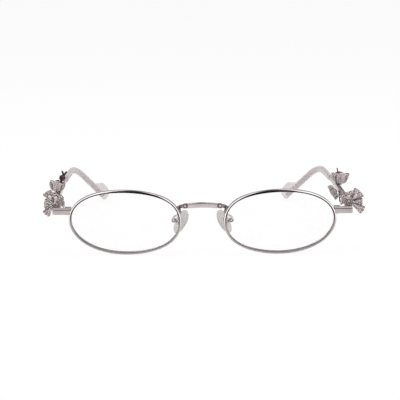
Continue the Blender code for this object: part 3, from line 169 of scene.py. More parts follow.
# collars round the necks, with a sunk window and a stone on the front and the back
COLLAR_SIZE = (1.9, 1.5, 2.1)
COLLAR_FRAME, COLLAR_WINDOW_DEPTH = 0.32, 0.2
COLLAR_STONE, COLLAR_STONE_LIFT = 0.85, 0.54
PAD_AXIS = (11.644, -54.461, 14.877)
PAD_TURN = ((-0.7415, 0.6283, -0.2355), (-0.4876, -0.7457, -0.4542), (-0.4609, -0.2219, 0.8592))
PAD_SHIFT = 1.812
PAD_SIZE = (2.4, 6.9, 13.0)
# how much of the thickness lies in front, how full the dome is, and the pad's taper
PAD_FRONT_SHARE, PAD_DOME, PAD_WIDENING = 0.62, 0.8, 0.12
CAGE_SIZE, CAGE_WALL, CAGE_DEPTH, CAGE_SHIFT = (1.7, 2.6, 2.4), 0.4, 1.1, -0.25
INSERT_SIZE, INSERT_SHIFT = (2.0, 1.1, 0.3), 1.25
TAB_SIZE, TAB_SHIFT = (1.5, 1.05, 1.2), 0.45
PAD_ARM_RADIUS = 0.45
PAD_ARM = ((10.72, -58.74, 18.75), (10.70, -58.44, 18.79), (10.67, -58.14, 18.84),
           (10.66, -57.85, 18.88), (12.41, -56.41, 18.22), (13.90, -55.82, 16.65),
           (13.61, -55.82, 15.94), (13.14, -55.73, 15.35), (12.55, -55.23, 15.16))
PAD_RING = (13.5, -55.75, 15.75)
PAD_RING_RADIUS, PAD_RING_WIRE = 0.85, 0.3

# Blossoms: direction from outward and forward lean in degrees, length and width
HUB = {"left": (70.25, -46.80, 21.91), "right": (-70.57, -46.97, 21.91)}
HUB_RADIUS = 1.4
HUB_RIBS, HUB_RIB_DEPTH = 8, 0.06
PETALS = {
    "left": {
        "front": (112, 16, 5.9, 7.2),
        "upper": (47, -14, 7.2, 5.6),
        "outer": (1, 3, 5.9, 4.0),
        "lower": (-31, 12, 7.4, 3.2),
        "inner": (165, -8, 4.6, 3.8),
    },
    "right": {
        "front": (109, 16, 6.1, 6.8),
        "upper": (60, -14, 7.0, 4.0),
        "outer": (6, 3, 4.6, 4.8),
        "lower": (-49, 12, 6.4, 3.1),
        "inner": (172, -8, 5.0, 3.9),
    },
}
PETAL_CELLS = (24, 36)
PETAL_START = 1.52
PETAL_BASE_HALF_WIDTH = 0.42
PETAL_CUP = 0.9
# shares of the cup that rise along the petal and towards its sides
PETAL_CUP_SHARES = (0.6, 0.7)
PETAL_FLARE, PETAL_ROUNDING, PETAL_SCALLOPS = 1.15, 0.08, 3
PETAL_SCALLOP = 0.7
PETAL_THICKNESS = 0.62
BORDER_WIDTH = 0.16
BORDER_HEIGHT = 0.14
# how much painted shade the petal's back carries
BACK_SHADE = 0.15
# the large stones' length and width, and their place along the petal
LARGE_STONES = {"front": (2.6, 1.7, 0.6), "upper": (2.6, 1.7, 0.5)}
LARGE_HEIGHT, LARGE_LIFT = 1.5, 0.42
LARGE_CLEARANCE = (0.6, 0.72)
# rows of small stones: spacing, the first row's distance to the base, and what both ends
# and the sides leave free
STONE_SPACING = 0.9
ROW_START, ROW_MARGIN, ROW_SPARE, SIDE_MARGIN = 0.62, 0.85, 0.4, 0.25
FIRST_ROW_FIT, STONE_LIFT = 0.78, 0.02
# the metal grains between stones, ahead of them by a share of the petal
GRAIN_RADIUS, GRAIN_AHEAD = 0.17, 0.09
STONE_MODEL, GRAIN_MODEL = "stone_model", "grain_model"
# a cut stone of diameter 1: girdle, then height and width of its table and of its point
STONE_GIRDLE, STONE_TABLE, STONE_POINT = 0.08, (0.17, 0.58), (-0.3, 0.1)
STONE_TURN = math.radians(18)

# Buds: neck, the three axes of the bud's own frame, scale, share of height, slimness and
# how far the mouth closes
BUDS = {
    "left_upper": ((69.18, -9.40, 22.60), (0.9970, 0.0575, -0.0523), (-0.0576, 0.9983, 0.0),
                   (0.0522, 0.0030, 0.9986), 1.0, 1.0, 0.5, 0.0),
    "left_lower": ((66.68, -18.56, 21.80), (-0.4992, -0.0288, 0.8660), (-0.0576, 0.9983, 0.0),
                   (-0.8646, -0.0499, -0.5000), 0.9, 0.48, 0.35, 0.1),
    "right_upper": ((-71.99, -23.58, 22.34), (0.9876, 0.0103, -0.1564), (-0.0105, 0.9999, 0.0),
                    (0.1564, 0.0016, 0.9877), 0.97, 0.97, 0.7, 0.2),
}
BUD_HEIGHT = 6.0
BUD_RADIUS = 4.0
BUD_PROFILE = ((0.25, 0.0), (0.25, 0.12), (0.38, 0.17), (0.52, 0.22), (0.65, 0.33),
               (0.76, 0.46), (0.85, 0.62), (0.93, 0.8), (1.0, 1.0))
BUD_WALL = 0.55
BUD_LOBES = 4
BUD_LOBE_SHARE = 0.12
BUD_DIP = 0.14
# how narrow the grooves between lobes are, how deep they may be to carry stones, and how
# late the wall closes
BUD_GROOVE_POWER, BUD_GROOVE_LIMIT, BUD_CLOSING_POWER = 5, 0.5, 6
# the cup's hollow: its rise over the outside, then radius and share of height at its floor
BUD_LIP = 0.12
BUD_FLOOR = ((0.5, 0.28), (0.02, 0.26))
# rows of stones round the cup, as shares of its height
BUD_ROWS = (0.36, 0.52, 0.68, 0.83, 0.95)
BUD_ROW_SPACING, BUD_FIRST_FIT, BUD_STONE_LIFT = 1.12, 0.8, 0.06
# the stones in the mouth: number in each ring, spacing and turn of the rings, base height,
# dome, lean and size
HEART_RINGS = (1, 7, 13)
HEART_SPACING, HEART_TURN = 0.35, 0.37
HEART_BASE, HEART_DOME, HEART_LEAN, HEART_STONE = 0.78, 0.9, 0.25, 1.35
STEMS = {
    "left": ((70.88, -45.24, 21.91), (70.85, -44.64, 21.91), (70.32, -32.89, 21.87),
             (69.78, -21.14, 21.84), (69.18, -9.40, 21.83), (69.14, -8.73, 21.83),
             (68.96, -7.41, 21.83), (68.59, -5.43, 21.83), (68.50, -3.93, 21.83)),
    "right": ((-71.30, -45.45, 21.91), (-71.31, -44.85, 21.91), (-71.57, -37.76, 21.73),
              (-71.83, -30.67, 21.54), (-71.99, -23.58, 21.46), (-72.00, -22.91, 21.46),
              (-71.89, -21.58, 21.46), (-71.57, -19.58, 21.46), (-71.59, -18.08, 21.46)),
}
STEM_RADIUS = 0.6
WIRES = {
    "bud_wire_upper": ("temple_left", ((69.28, -9.39, 24.64), (68.51, -9.44, 27.96),
                                       (67.73, -9.48, 31.29))),
    "bud_wire_lower": ("temple_left", ((67.90, -18.49, 20.38), (68.20, -18.47, 18.08),
                                       (68.50, -18.45, 15.78))),
    "bead_wire_inner": ("temple_right", ((-67.75, -23.53, 31.0), (-67.20, -23.53, 32.2),
                                         (-66.45, -23.52, 33.0))),
    "bead_wire_outer": ("temple_right", ((-68.29, -23.54, 31.2), (-68.48, -23.54, 32.4),
                                         (-68.95, -23.55, 33.3))),
}
WIRE_RADIUS = {"bud": 0.3, "bead": 0.48}
BEAD_RADIUS = 1.6
BEAD_OFFSET = 2.0
BEAD_FLOOR = 1.85
BEAD_CENTRE = 7.92
BEAD_STALK = ((0.0, 0.0, BEAD_FLOOR), (0.55, 0.0, 3.9), (BEAD_OFFSET, 0.0, BEAD_CENTRE - 1.3))
BEAD_STALK_RADIUS = 0.5
# a wire's domed end: distance from its tip and thickness, both as shares
WIRE_DOME = ((0.02, 0.45), (0.12, 0.75), (0.3, 0.95))

# Finishes
# polished metals, all the one plated metal: tone, roughness, and the tone and added roughness of
# marked points. A first tone below 1 is painted shade, one above 1 painted light
POLISHED = {
    # bridge_metal's second tone: a painted dark reflection on the crest and painted shade on the
    # necks
    "bridge_metal": (0.92, 0.2, 0.45, 0.0),
    # joint_metal: painted shade on the soldered joints
    "joint_metal": (0.42, 0.12, 1.0, 0.0),
    # collar_metal: painted shade on the collars
    "collar_metal": (0.36, 0.16, 1.0, 0.0),
    "pad_metal": (1.05, 0.1, 1.0, 0.0),
    # curl_metal: painted dark reflection on the pad arms' curls
    "curl_metal": (0.5, 0.1, 1.0, 0.0),
    "end_metal": (0.8, 0.2, 1.0, 0.0),
    # seam_metal: painted shade and dark reflection in the end pieces' seam
    "seam_metal": (0.07, 0.3, 1.0, 0.0),
    "arm_metal": (1.0, 0.16, 0.95, 0.35),
    "grain_metal": (1.1, 0.1, 1.0, 0.0),
    "rod_metal": (0.92, 0.16, 1.0, 0.0),
}
# cut stones: size of their facets in millimetres, tone; the buds' tones below 1 are painted shade
CRYSTALS = {
    "petal_crystal": (0.42, 1.0),
    "large_crystal": (0.8, 1.0),
    "collar_stone": (0.5, 1.0),
    "bud_crystal": (0.42, 0.72),
    "shaded_crystal": (0.42, 0.4),
}
# clear plastics: opacity in the middle and at the outline, roughness, how late the outline
# sets in, size of the inner clouds in millimetres
CLEAR = {
    "clear_lens": (0.03, 0.16, 0.02, 2.0, 12.0),
    "clear_silicone": (0.42, 1.0, 0.22, 1.7, 3.0),
    "clear_tip": (0.34, 0.88, 0.08, 1.5, 5.0),
}
LENS_TINT = (0.93, 0.95, 0.95)

# Camera and stage, the camera in millimetres, the rest in metres
CAMERA_AIM = (-1.16, -60.944, 26.6)
CAMERA_DISTANCE = 600.0
CAMERA_ELEVATION = math.radians(12.5)
CAMERA_ROLL = math.radians(-0.35)
SENSOR_WIDTH = 36
# the photograph's focal length and width in pixels
CAMERA_LENS = 1293 / 400 * SENSOR_WIDTH
FLOOR_SIZE, FLOOR_HEIGHT = 6, -0.00002
# how much of the floor's look to the camera is plain white
FLOOR_GLOW = 0.88
WORLD_LIGHT = 0.68
# soft boxes: name, place, size and power
LAMPS = (("soft_box_left", (0.55, -0.25, 0.75), 0.5, 1.4),
         ("soft_box_right", (-0.55, -0.45, 0.85), 0.6, 1.8),
         ("soft_box_top", (0.0, 0.05, 0.7), 0.55, 1.6))
LAMP_AIM = (0.0, -0.02, 0.01)
# dark cards: name, place and size
FLAGS = (("flag_over", (0.0, -0.16, 0.34), (0.5, 0.035)),
         ("flag_front", (0.0, -0.5, 0.12), (0.5, 0.10)),
         ("flag_back", (0.0, 0.35, 0.16), (0.7, 0.05)))
FLAG_AIM = (0.0, -0.06, 0.02)


class FrameSizes(bpy.types.PropertyGroup):
    """Sizes of the frame's finer parts."""

    rim_width: bpy.props.FloatProperty(
        name="Rim Width", description="Width of the rims seen from the front",
        default=0.0012, min=0.0009, max=0.0014, unit="LENGTH", precision=4)
    stone_size: bpy.props.FloatProperty(
        name="Small Stone", description="Diameter of the small stones in petals and buds",
        default=0.00086, min=0.0005, max=0.0015, unit="LENGTH", precision=5)


class FrameColors(bpy.types.PropertyGroup):
    """Colours of the frame's finishes."""

    metal: bpy.props.FloatVectorProperty(
        name="Rim Metal", description="Colour of the rims",
        default=(0.66, 0.61, 0.605), size=3, min=0, max=1, subtype="COLOR")
    fitting: bpy.props.FloatVectorProperty(
        name="Metal", description="Colour of the bridge, end pieces, arms and settings",
        default=(0.645, 0.575, 0.565), size=3, min=0, max=1, subtype="COLOR")
    # recess: the colour of the painted shade between stones, on petal backs and borders, and in
    # the rims' lens groove
    recess: bpy.props.FloatVectorProperty(
        name="Recess", description="Colour of the metal between stones and in grooves",
        default=(0.10, 0.075, 0.07), size=3, min=0, max=1, subtype="COLOR")
    # crystal and crystal_dark_reflection: the painted bright and dark reflections of the stones'
    # facets
    crystal: bpy.props.FloatVectorProperty(
        name="Crystal", description="Bright colour of the cut stones",
        default=(0.90, 0.78, 0.775), size=3, min=0, max=1, subtype="COLOR")
    crystal_dark_reflection: bpy.props.FloatVectorProperty(
        name="Crystal Depth", description="Dark colour of the cut stones' facets",
        default=(0.35, 0.225, 0.225), size=3, min=0, max=1, subtype="COLOR")
    bead: bpy.props.FloatVectorProperty(
        name="Bead", description="Colour of the polished bead and the fine wires",
        default=(0.012, 0.010, 0.010), size=3, min=0, max=1, subtype="COLOR")
    sleeve: bpy.props.FloatVectorProperty(
        name="Clear Tip", description="Tint of the clear tips",
        default=(0.67, 0.59, 0.605), size=3, min=0, max=1, subtype="COLOR")
    pad: bpy.props.FloatVectorProperty(
        name="Nose Pad", description="Tint of the nose pads",
        default=(0.60, 0.53, 0.51), size=3, min=0, max=1, subtype="COLOR")
    floor: bpy.props.FloatVectorProperty(
        name="Floor", description="Colour of the floor",
        default=(0.93, 0.93, 0.93), size=3, min=0, max=1, subtype="COLOR")


# Working in the scene

def deselect():
    """Leave nothing selected."""
    bpy.ops.object.select_all(action="DESELECT")


def focus(obj):
    """Select one object and make it the active one."""
    deselect()
    obj.select_set(True)
    bpy.context.view_layer.objects.active = obj


def added(name):
    """The object that the last operator added, under its new name."""
    obj = bpy.context.active_object
    obj.name = name
    obj.data.name = name
    return obj


def add_object(operator, name, **settings):
    """Run one of Blender's operators that add an object, and name what it added."""
    deselect()
    operator(**settings)
    return added(name)


def apply_modifiers(obj):
    """Apply every modifier of an object."""
    focus(obj)
    for modifier in list(obj.modifiers):
        bpy.ops.object.modifier_apply(modifier=modifier.name)


def settle(obj, place=None):
    """Move an object to its place and write that place into its mesh."""
    if place is not None:
        obj.matrix_world = place @ obj.matrix_world
    focus(obj)
    bpy.ops.object.transform_apply(location=True, rotation=True, scale=True)
    return obj


def block(name, size, centre=(0, 0, 0)):
    """A box whose size and centre are given in millimetres."""
    box = add_object(bpy.ops.mesh.primitive_cube_add, name, size=1)
    box.scale = Vector(size) * MM
    box.location = Vector(centre) * MM
    return settle(box)


@contextmanager
def editing(obj):
    """Edit mode on one object."""
    focus(obj)
    bpy.ops.object.mode_set(mode="EDIT")
    yield
    bpy.ops.object.mode_set(mode="OBJECT")


def weld(obj, microns=20):
    """Merge points that lie closer than a distance and turn every face outward."""
    with editing(obj):
        bpy.ops.mesh.select_all(action="SELECT")
        bpy.ops.mesh.remove_doubles(threshold=microns / 1e6)
        bpy.ops.mesh.normals_make_consistent(inside=False)
    return obj


def soften(obj, degrees=35):
    """Smooth shading with crisp edges above an angle."""
    focus(obj)
    bpy.ops.object.shade_smooth_by_angle(angle=math.radians(degrees))
    return obj


def pick_faces(obj, test):
    """In edit mode, select the faces that pass a test on their place and direction."""
    bpy.ops.mesh.select_mode(type="FACE")
    bpy.ops.mesh.select_all(action="DESELECT")
    for face in bmesh.from_edit_mesh(obj.data).faces:
        face.select_set(test(face.calc_center_median(), face.normal))
    bmesh.update_edit_mesh(obj.data)


def raise_faces(height, grow=1.0):
    """In edit mode, extrude the selection along Z and widen it about the Z axis."""
    bpy.ops.mesh.extrude_region_move(TRANSFORM_OT_translate={"value": (0, 0, height)})
    bpy.ops.transform.resize(value=(grow, grow, 1), center_override=(0, 0, 0))


def sink_faces(depth):
    """In edit mode, extrude the selected faces inward by a depth in millimetres."""
    bpy.ops.mesh.extrude_region_shrink_fatten(
        TRANSFORM_OT_shrink_fatten={"value": -depth * MM})


def reshape(obj, rule):
    """Move every point of a mesh by a rule, as a sculptor would."""
    for vert in obj.data.vertices:
        vert.co = rule(vert.co)
    obj.data.update()


def mark(obj, name, values=None):
    """Store a value on every point of a mesh, or 1 on all of them."""
    stored = obj.data.attributes.new(name, "FLOAT", "POINT")
    for index, target in enumerate(stored.data):
        target.value = 1.0 if values is None else float(values[index])


def border_points(obj):
    """Numbers of the points on a mesh's open edge."""
    used = Counter(key for face in obj.data.polygons for key in face.edge_keys)
    return {point for key, times in used.items() if times == 1 for point in key}


def copy_of(obj, name, place):
    """A copy with its own mesh, moved to a place."""
    twin = obj.copy()
    twin.data = obj.data.copy()
    twin.name = name
    twin.data.name = name
    bpy.context.collection.objects.link(twin)
    twin.data.transform(place)
    return twin


def join(name, pieces):
    """One object made of several."""
    deselect()
    for piece in pieces:
        piece.select_set(True)
    bpy.context.view_layer.objects.active = pieces[0]
    if len(pieces) > 1:
        bpy.ops.object.join()
    return added(name)


def bevel_edges(obj, width, segments=2, degrees=50):
    """Round the edges that are sharper than an angle, by a width in millimetres."""
    modifier = obj.modifiers.new("edges", "BEVEL")
    modifier.width = width * MM
    modifier.segments = segments
    modifier.limit_method = "ANGLE"
    modifier.angle_limit = math.radians(degrees)
    apply_modifiers(obj)


def hand_over(obj, body, slot, material, *nodes):
    """Give a finished piece its material, and tie it to the frame."""
    obj.data.materials.clear()
    obj.data.materials.append(material)
    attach(obj, body)
    if nodes:
        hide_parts(*nodes)


# Places, paths and outlines

def clamp(value):
    """A value kept between 0 and 1."""
    return min(1.0, max(0.0, value))


def ease(share):
    """A share from 0 to 1 that leaves and arrives gently."""
    return share * share * (3 - 2 * share)


def at(point, side=1):
    """The shift to a point given in millimetres for the wearer's left."""
    x, y, z = point
    return Matrix.Translation(Vector((side * x, y, z)) * MM)


def turned(*axes):
    """The turn that brings X, Y and Z onto three axes."""
    return Matrix(axes).transposed().to_4x4()


def metres(points):
    """Points in millimetres as vectors in metres."""
    return [Vector(point) * MM for point in points]


def smooth_path(points, steps):
    """Points on a smooth curve through the given ones, with steps between each two."""
    places = [Vector(point) for point in points]
    spans = [max((b - a).length, 1e-9) for a, b in zip(places, places[1:])]
    rows = [list(point) for point in points]
    slopes = []
    for index in range(len(rows)):
        low, high = max(index - 1, 0), min(index + 1, len(rows) - 1)
        before = spans[low] if index else spans[0]
        after = spans[index] if index < len(spans) else spans[-1]
        share = after / (before + after)
        slope = []
        for value in range(len(rows[0])):
            to_here = (rows[index][value] - rows[low][value]) / before
            from_here = (rows[high][value] - rows[index][value]) / after
            if index == 0:
                slope.append(from_here)
            elif index == len(rows) - 1:
                slope.append(to_here)
            else:
                slope.append(to_here * share + from_here * (1 - share))
        slopes.append(slope)
    result = []
    for index, span in enumerate(spans):
        for step in range(steps):
            t = step / steps
            result.append([
                start * (1 + 2 * t) * (1 - t) ** 2 + end * t * t * (3 - 2 * t)
                + span * (leave * t * (1 - t) ** 2 - arrive * t * t * (1 - t))
                for start, end, leave, arrive in zip(
                    rows[index], rows[index + 1], slopes[index], slopes[index + 1])])
    result.append(rows[-1])
    return result


def rounded_outline(width, height, power=0.6, count=28):
    """A rounded rectangle, in metres, from sizes in millimetres."""
    outline = []
    for step in range(count):
        angle = 2 * math.pi * (step + 0.5) / count
        x = math.copysign(abs(math.cos(angle)) ** power, math.cos(angle))
        y = math.copysign(abs(math.sin(angle)) ** power, math.sin(angle))
        outline.append((x * width / 2 * MM, y * height / 2 * MM))
    return outline


def poly_spline(curve, points, closed):
    """Fill a curve with one straight-sided line."""
    spline = curve.splines.new("POLY")
    spline.points.add(len(points) - 1)
    spline.use_cyclic_u = closed
    for target, point in zip(spline.points, points):
        target.co = (*point, 1)
    return spline


def new_curve(name, flat=False):
    """An empty curve object."""
    curve = bpy.data.curves.new(name, "CURVE")
    curve.dimensions = "2D" if flat else "3D"
    curve.render_resolution_u = 0
    obj = bpy.data.objects.new(name, curve)
    bpy.context.collection.objects.link(obj)
    return obj


def curve_to_mesh(obj):
    """Turn a curve into a welded mesh."""
    focus(obj)
    bpy.ops.object.convert(target="MESH")
    return weld(bpy.context.active_object, 2)


def sweep(name, points, outline, closed=False):
    """An outline drawn along a path, kept upright."""
    guide = new_curve(f"{name}_guide", flat=True)
    poly_spline(guide.data, [(x, y, 0) for x, y in outline], True)
    path = new_curve(name)
    path.data.twist_mode = "Z_UP"
    path.data.bevel_mode = "OBJECT"
    path.data.bevel_object = guide
    path.data.use_fill_caps = not closed
    poly_spline(path.data, points, closed)
    mesh = curve_to_mesh(path)
    bpy.data.objects.remove(guide)
    return mesh


def round_wire(name, points, radius, steps=6):
    """A round wire through points in millimetres, with domed ends."""
    path = new_curve(name)
    path.data.bevel_depth = radius * MM
    path.data.bevel_resolution = 4
    path.data.use_fill_caps = True
    places = metres(smooth_path(points, steps))
    scales = [1.0] * len(places)
    for _ in range(2):
        tip = places[0]
        outward = (tip - places[1]).normalized() * radius * MM
        dome = [tip - outward * share for share, _ in WIRE_DOME]
        places = [*dome, tip - outward, *places[1:]]
        scales = [scale for _, scale in WIRE_DOME] + scales
        places.reverse()
        scales.reverse()
    spline = poly_spline(path.data, places, False)
    for point, scale in zip(spline.points, scales):
        point.radius = scale
    return soften(curve_to_mesh(path), 50)


def oval_point(angle, side):
    """A point on the rims' centre line in the front view, in millimetres."""
    squareness = OVAL_SQUARENESS - side * OVAL_NOSE_SQUARENESS * math.cos(angle)
    scale = 1 / (1 - squareness)
    x = math.cos(angle) - squareness * math.cos(3 * angle)
    z = math.sin(angle) + squareness * math.sin(3 * angle)
    return Vector((x * scale * (LENS_WIDTH / 2 + LENS_INSET),
                   z * scale * (LENS_HEIGHT / 2 + LENS_INSET)))


def oval_tangent(angle, side):
    """A short step along the rims' centre line."""
    return oval_point(angle + ANGLE_STEP, side) - oval_point(angle - ANGLE_STEP, side)


def oval_normal(angle, side):
    """The outward direction of the rims' centre line."""
    tangent = oval_tangent(angle, side)
    return Vector((tangent.y, -tangent.x)).normalized()


def rim_point(angle, side):
    """A point on the rim's centre line in the rim's frame, in metres."""
    centre = oval_point(angle, side)
    sag = LENS_CURVE_RADIUS - math.sqrt(LENS_CURVE_RADIUS ** 2 - centre.length_squared)
    return Vector((centre.x, sag, centre.y)) * MM


def rim_place(side):
    """The rim's place in the whole frame."""
    front = at(FRONT_ORIGIN) @ Matrix.Rotation(FRONT_TILT, 4, "X")
    return front @ at((LENS_CENTRE_X, 0, 0), side) @ Matrix.Rotation(side * FRONT_WRAP, 4, "Z")


def mirrored(points, side):
    """Points of the wearer's left, or their mirror images."""
    return [(side * x, y, z) for x, y, z in points]


# Finishes

class Signal:
    """A value inside a material. Arithmetic on it adds Math nodes."""

    def __init__(self, recipe, socket):
        self.recipe = recipe
        self.socket = socket

    def math(self, operation, first, second):
        """The result of one Math node."""
        return self.recipe.read(self.recipe.add(
            "ShaderNodeMath", {"operation": operation}, {0: first, 1: second}))

    def __add__(self, other):
        return self.math("ADD", self, other)

    def __rsub__(self, other):
        return self.math("SUBTRACT", other, self)

    def __mul__(self, other):
        return self.math("MULTIPLY", self, other)

    def __pow__(self, other):
        return self.math("POWER", self, other)

    __radd__ = __add__


class Recipe:
    """A material under construction round its Principled shader."""

    def __init__(self, name, settings):
        self.material = bpy.data.materials.new(name)
        self.material.use_nodes = True
        self.tree = self.material.node_tree
        self.surface = self.tree.nodes["Principled BSDF"]
        for socket, value in settings.items():
            self.feed(self.surface.inputs[socket], value)

    def add(self, kind, settings, inputs):
        """A node with its settings made first, then its sockets filled or linked."""
        node = self.tree.nodes.new(kind)
        for key, value in settings.items():
            if key == "stops":
                self.fill_ramp(node, value)
            else:
                setattr(node, key, value)
        for key, value in inputs.items():
            self.feed(node.inputs[key], value)
        return node

    def feed(self, socket, value):
        """Link a signal to a socket, or write a plain value."""
        if isinstance(value, Signal):
            self.tree.links.new(value.socket, socket)
        elif socket.type == "RGBA" and len(value) == 3:
            socket.default_value = (*value, 1.0)
        else:
            socket.default_value = value

    def fill_ramp(self, node, stops):
        """Set the stops of a colour ramp."""
        elements = node.color_ramp.elements
        while len(elements) < len(stops):
            elements.new(0.5)
        for element, (place, color) in zip(elements, stops):
            element.position = place
            element.color = (*color, 1.0) if len(color) == 3 else color

    def read(self, node, output=0):
        """An output of a node as a signal."""
        return Signal(self, node.outputs[output])

    def attribute(self, name):
        """A value stored on the mesh."""
        return self.read(
            self.add("ShaderNodeAttribute", {"attribute_name": name}, {}), "Fac")

    def coordinates(self, stretch=(1, 1, 1)):
        """Object coordinates, stretched."""
        source = self.read(self.add("ShaderNodeTexCoord", {}, {}), "Object")
        return self.read(self.add("ShaderNodeMapping", {}, {"Vector": source, "Scale": stretch}))

    def noise(self, size, detail, stretch=(1, 1, 1)):
        """Soft cloudy noise whose patches are about the given size in metres."""
        return self.read(self.add("ShaderNodeTexNoise", {}, {
            "Vector": self.coordinates(stretch), "Scale": 1 / size, "Detail": detail}))

    def cells(self, size, output):
        """Cell pattern whose cells are about the given size in metres."""
        return self.read(self.add("ShaderNodeTexVoronoi", {}, {
            "Vector": self.coordinates(), "Scale": 1 / size}), output)

    def mix(self, factor, first, second):
        """A blend of two colours."""
        node = self.add("ShaderNodeMix", {"data_type": "RGBA"}, {0: factor, 6: first, 7: second})
        return self.read(node, 2)

    def ramp(self, factor, stops):
        """A colour ramp."""
        return self.read(self.add("ShaderNodeValToRGB", {"stops": stops}, {"Fac": factor}))

    def level(self, value, low, high, out_low=0.0, out_high=1.0):
        """Rescale a value from one range to another, and keep it there."""
        node = self.add("ShaderNodeMapRange", {"clamp": True}, {
            "Value": value, "From Min": low, "From Max": high,
            "To Min": out_low, "To Max": out_high})
        return self.read(node)

    def bump(self, height, distance, strength):
        """Relief on the surface from a height signal."""
        node = self.add("ShaderNodeBump", {}, {
            "Height": height, "Distance": distance, "Strength": strength})
        self.feed(self.surface.inputs["Normal"], self.read(node))

    def put(self, **signals):
        """Feed sockets of the surface, by their names without spaces."""
        for name, value in signals.items():
            self.feed(self.surface.inputs[name.replace("_", " ")], value)
        return self.material


def colors():
    """The colours set in the panel."""
    return bpy.context.scene.eyewear_colors


def sizes():
    """The sizes set in the panel."""
    return bpy.context.scene.eyewear_sizes


def shade(color, factor):
    """A lighter or darker version of a colour."""
    return tuple(min(1.0, channel * factor) for channel in color)


def polished_metal(name):
    """Plated metal with polishing marks and haze, and a second tone on marked points: painted
    shade and dark reflection on the bridge, the core's own satin tone on the arms.
    """
    tone, roughness, second_tone, satin = POLISHED[name]
    metal = shade(colors().fitting, tone)
    recipe = Recipe(name, {"Metallic": 1.0, "IOR": 1.5})
    haze = recipe.noise(4 * MM, 3)
    marks = recipe.noise(0.25 * MM, 4, (1, 6, 1))
    color = recipe.mix(recipe.level(haze, 0.35, 0.7), metal, shade(metal, 0.9))
    marked = recipe.attribute("second")
    color = recipe.mix(marked, color, shade(metal, second_tone))
    fine = recipe.level(marks, 0.3, 0.7, 0, 0.07)
    recipe.bump(marks, 0.004 * MM, 0.35)
    return recipe.put(
        Base_Color=color, Roughness=haze * 0.08 + fine + roughness + marked * satin)


def rim_metal(name):
    """Plated rim wire with painted light: painted grey shade on the outer edge, a painted
    highlight on the crown that is brighter on the upper half, and painted shade in the lens
    groove.
    """
    metal = tuple(colors().metal)
    recipe = Recipe(name, {"Metallic": 1.0, "IOR": 1.5})
    inward = recipe.attribute("inward")
    upper = recipe.attribute("upper")
    haze = recipe.noise(5 * MM, 3)
    marks = recipe.noise(0.3 * MM, 4, (6, 1, 6))
    # painted highlight on the crown, brighter on the upper half
    crown = recipe.mix(upper, shade(metal, 0.76), shade(metal, 1.62))
    crown = recipe.mix(recipe.level(haze, 0.35, 0.7), crown, recipe.mix(
        upper, shade(metal, 0.70), shade(metal, 1.5)))
    # painted grey shade where the outer edge rounds away
    outer = recipe.level(inward, 0.17, 0.08)
    color = recipe.mix(outer * 0.9, crown, shade(metal, 0.74))
    # painted shade in the lens groove, widened along the top's dark stretch and darker on the
    # upper half
    groove = recipe.level(inward + recipe.attribute("shadow") * 0.5, 0.44, 0.54)
    dark = recipe.mix(upper, shade(metal, 0.5), shade(colors().recess, 0.18))
    color = recipe.mix(groove, color, dark)
    recipe.bump(marks, 0.004 * MM, 0.3)
    return recipe.put(Base_Color=color, Roughness=haze * 0.06 + 0.1)


def steel(name):
    """Turned screw steel with fine rings."""
    recipe = Recipe(name, {"Metallic": 1.0})
    marks = recipe.noise(0.12 * MM, 3, (1, 1, 5))
    grime = recipe.noise(1.2 * MM, 2)
    color = recipe.mix(recipe.level(grime, 0.4, 0.75), (0.55, 0.54, 0.53), (0.33, 0.31, 0.30))
    recipe.bump(marks, 0.01 * MM, 0.4)
    return recipe.put(Base_Color=color, Roughness=recipe.level(marks, 0.3, 0.7, 0.2, 0.36))


def setting_metal(name):
    """The metal under the stones: a painted highlight on its ridges, painted shade between them
    and on the points marked deep.
    """
    recipe = Recipe(name, {"Metallic": 1.0})
    spots = recipe.cells(0.55 * MM, "Distance")
    cloud = recipe.noise(1.6 * MM, 3)
    # painted highlight on the cells' ridges, painted shade between them
    depth = recipe.level(spots + cloud * 0.25, 0.3, 0.62)
    color = recipe.mix(depth, shade(colors().fitting, 1.1), shade(colors().fitting, 0.5))
    # painted shade on points marked deep: petal backs and borders, the hub's underside and the bud
    # grooves
    color = recipe.mix(recipe.attribute("deep"), color, shade(colors().recess, 0.9))
    recipe.bump(1 - spots, 0.06 * MM, 0.6)
    return recipe.put(Base_Color=color, Roughness=recipe.level(cloud, 0.3, 0.7, 0.14, 0.3))


def cut_crystal(name):
    """Foil-backed cut stones: each facet carries a painted reflection, bright or dark, with faint
    inner clouds.
    """
    grain, tone = CRYSTALS[name]
    recipe = Recipe(name, {"Metallic": 0.0, "IOR": 1.6, "Specular IOR Level": 0.9})
    facet = recipe.cells(grain * MM, "Color")
    facet = recipe.read(recipe.add("ShaderNodeSeparateColor", {}, {"Color": facet}), 0)
    cloud = recipe.noise(0.9 * MM, 2)
    # each facet's painted reflection, bright or dark
    sparkle = recipe.level(facet * 0.8 + cloud * 0.35, 0.1, 0.95)
    dark, bright = shade(colors().crystal_dark_reflection, tone), shade(colors().crystal, tone)
    color = recipe.ramp(sparkle, [
        (0.0, dark), (0.12, shade(dark, 2.0)), (0.26, shade(bright, 0.74)),
        (0.6, shade(bright, 0.9)), (1.0, bright)])
    return recipe.put(
        Base_Color=color, Metallic=recipe.level(facet, 0.2, 0.6, 0.4, 0.15),
        Roughness=recipe.level(cloud, 0.3, 0.7, 0.03, 0.1))


def black_polish(name):
    """Deep black polish with warm brown patches scattered by noise."""
    recipe = Recipe(name, {"Coat Weight": 0.25, "Coat Roughness": 0.03, "Specular IOR Level": 0.3})
    cloud = recipe.noise(1.4 * MM, 3)
    color = recipe.mix(recipe.level(cloud, 0.5, 0.6), tuple(colors().bead), (0.16, 0.03, 0.025))
    return recipe.put(Base_Color=color, Roughness=recipe.level(cloud, 0.3, 0.7, 0.12, 0.25))


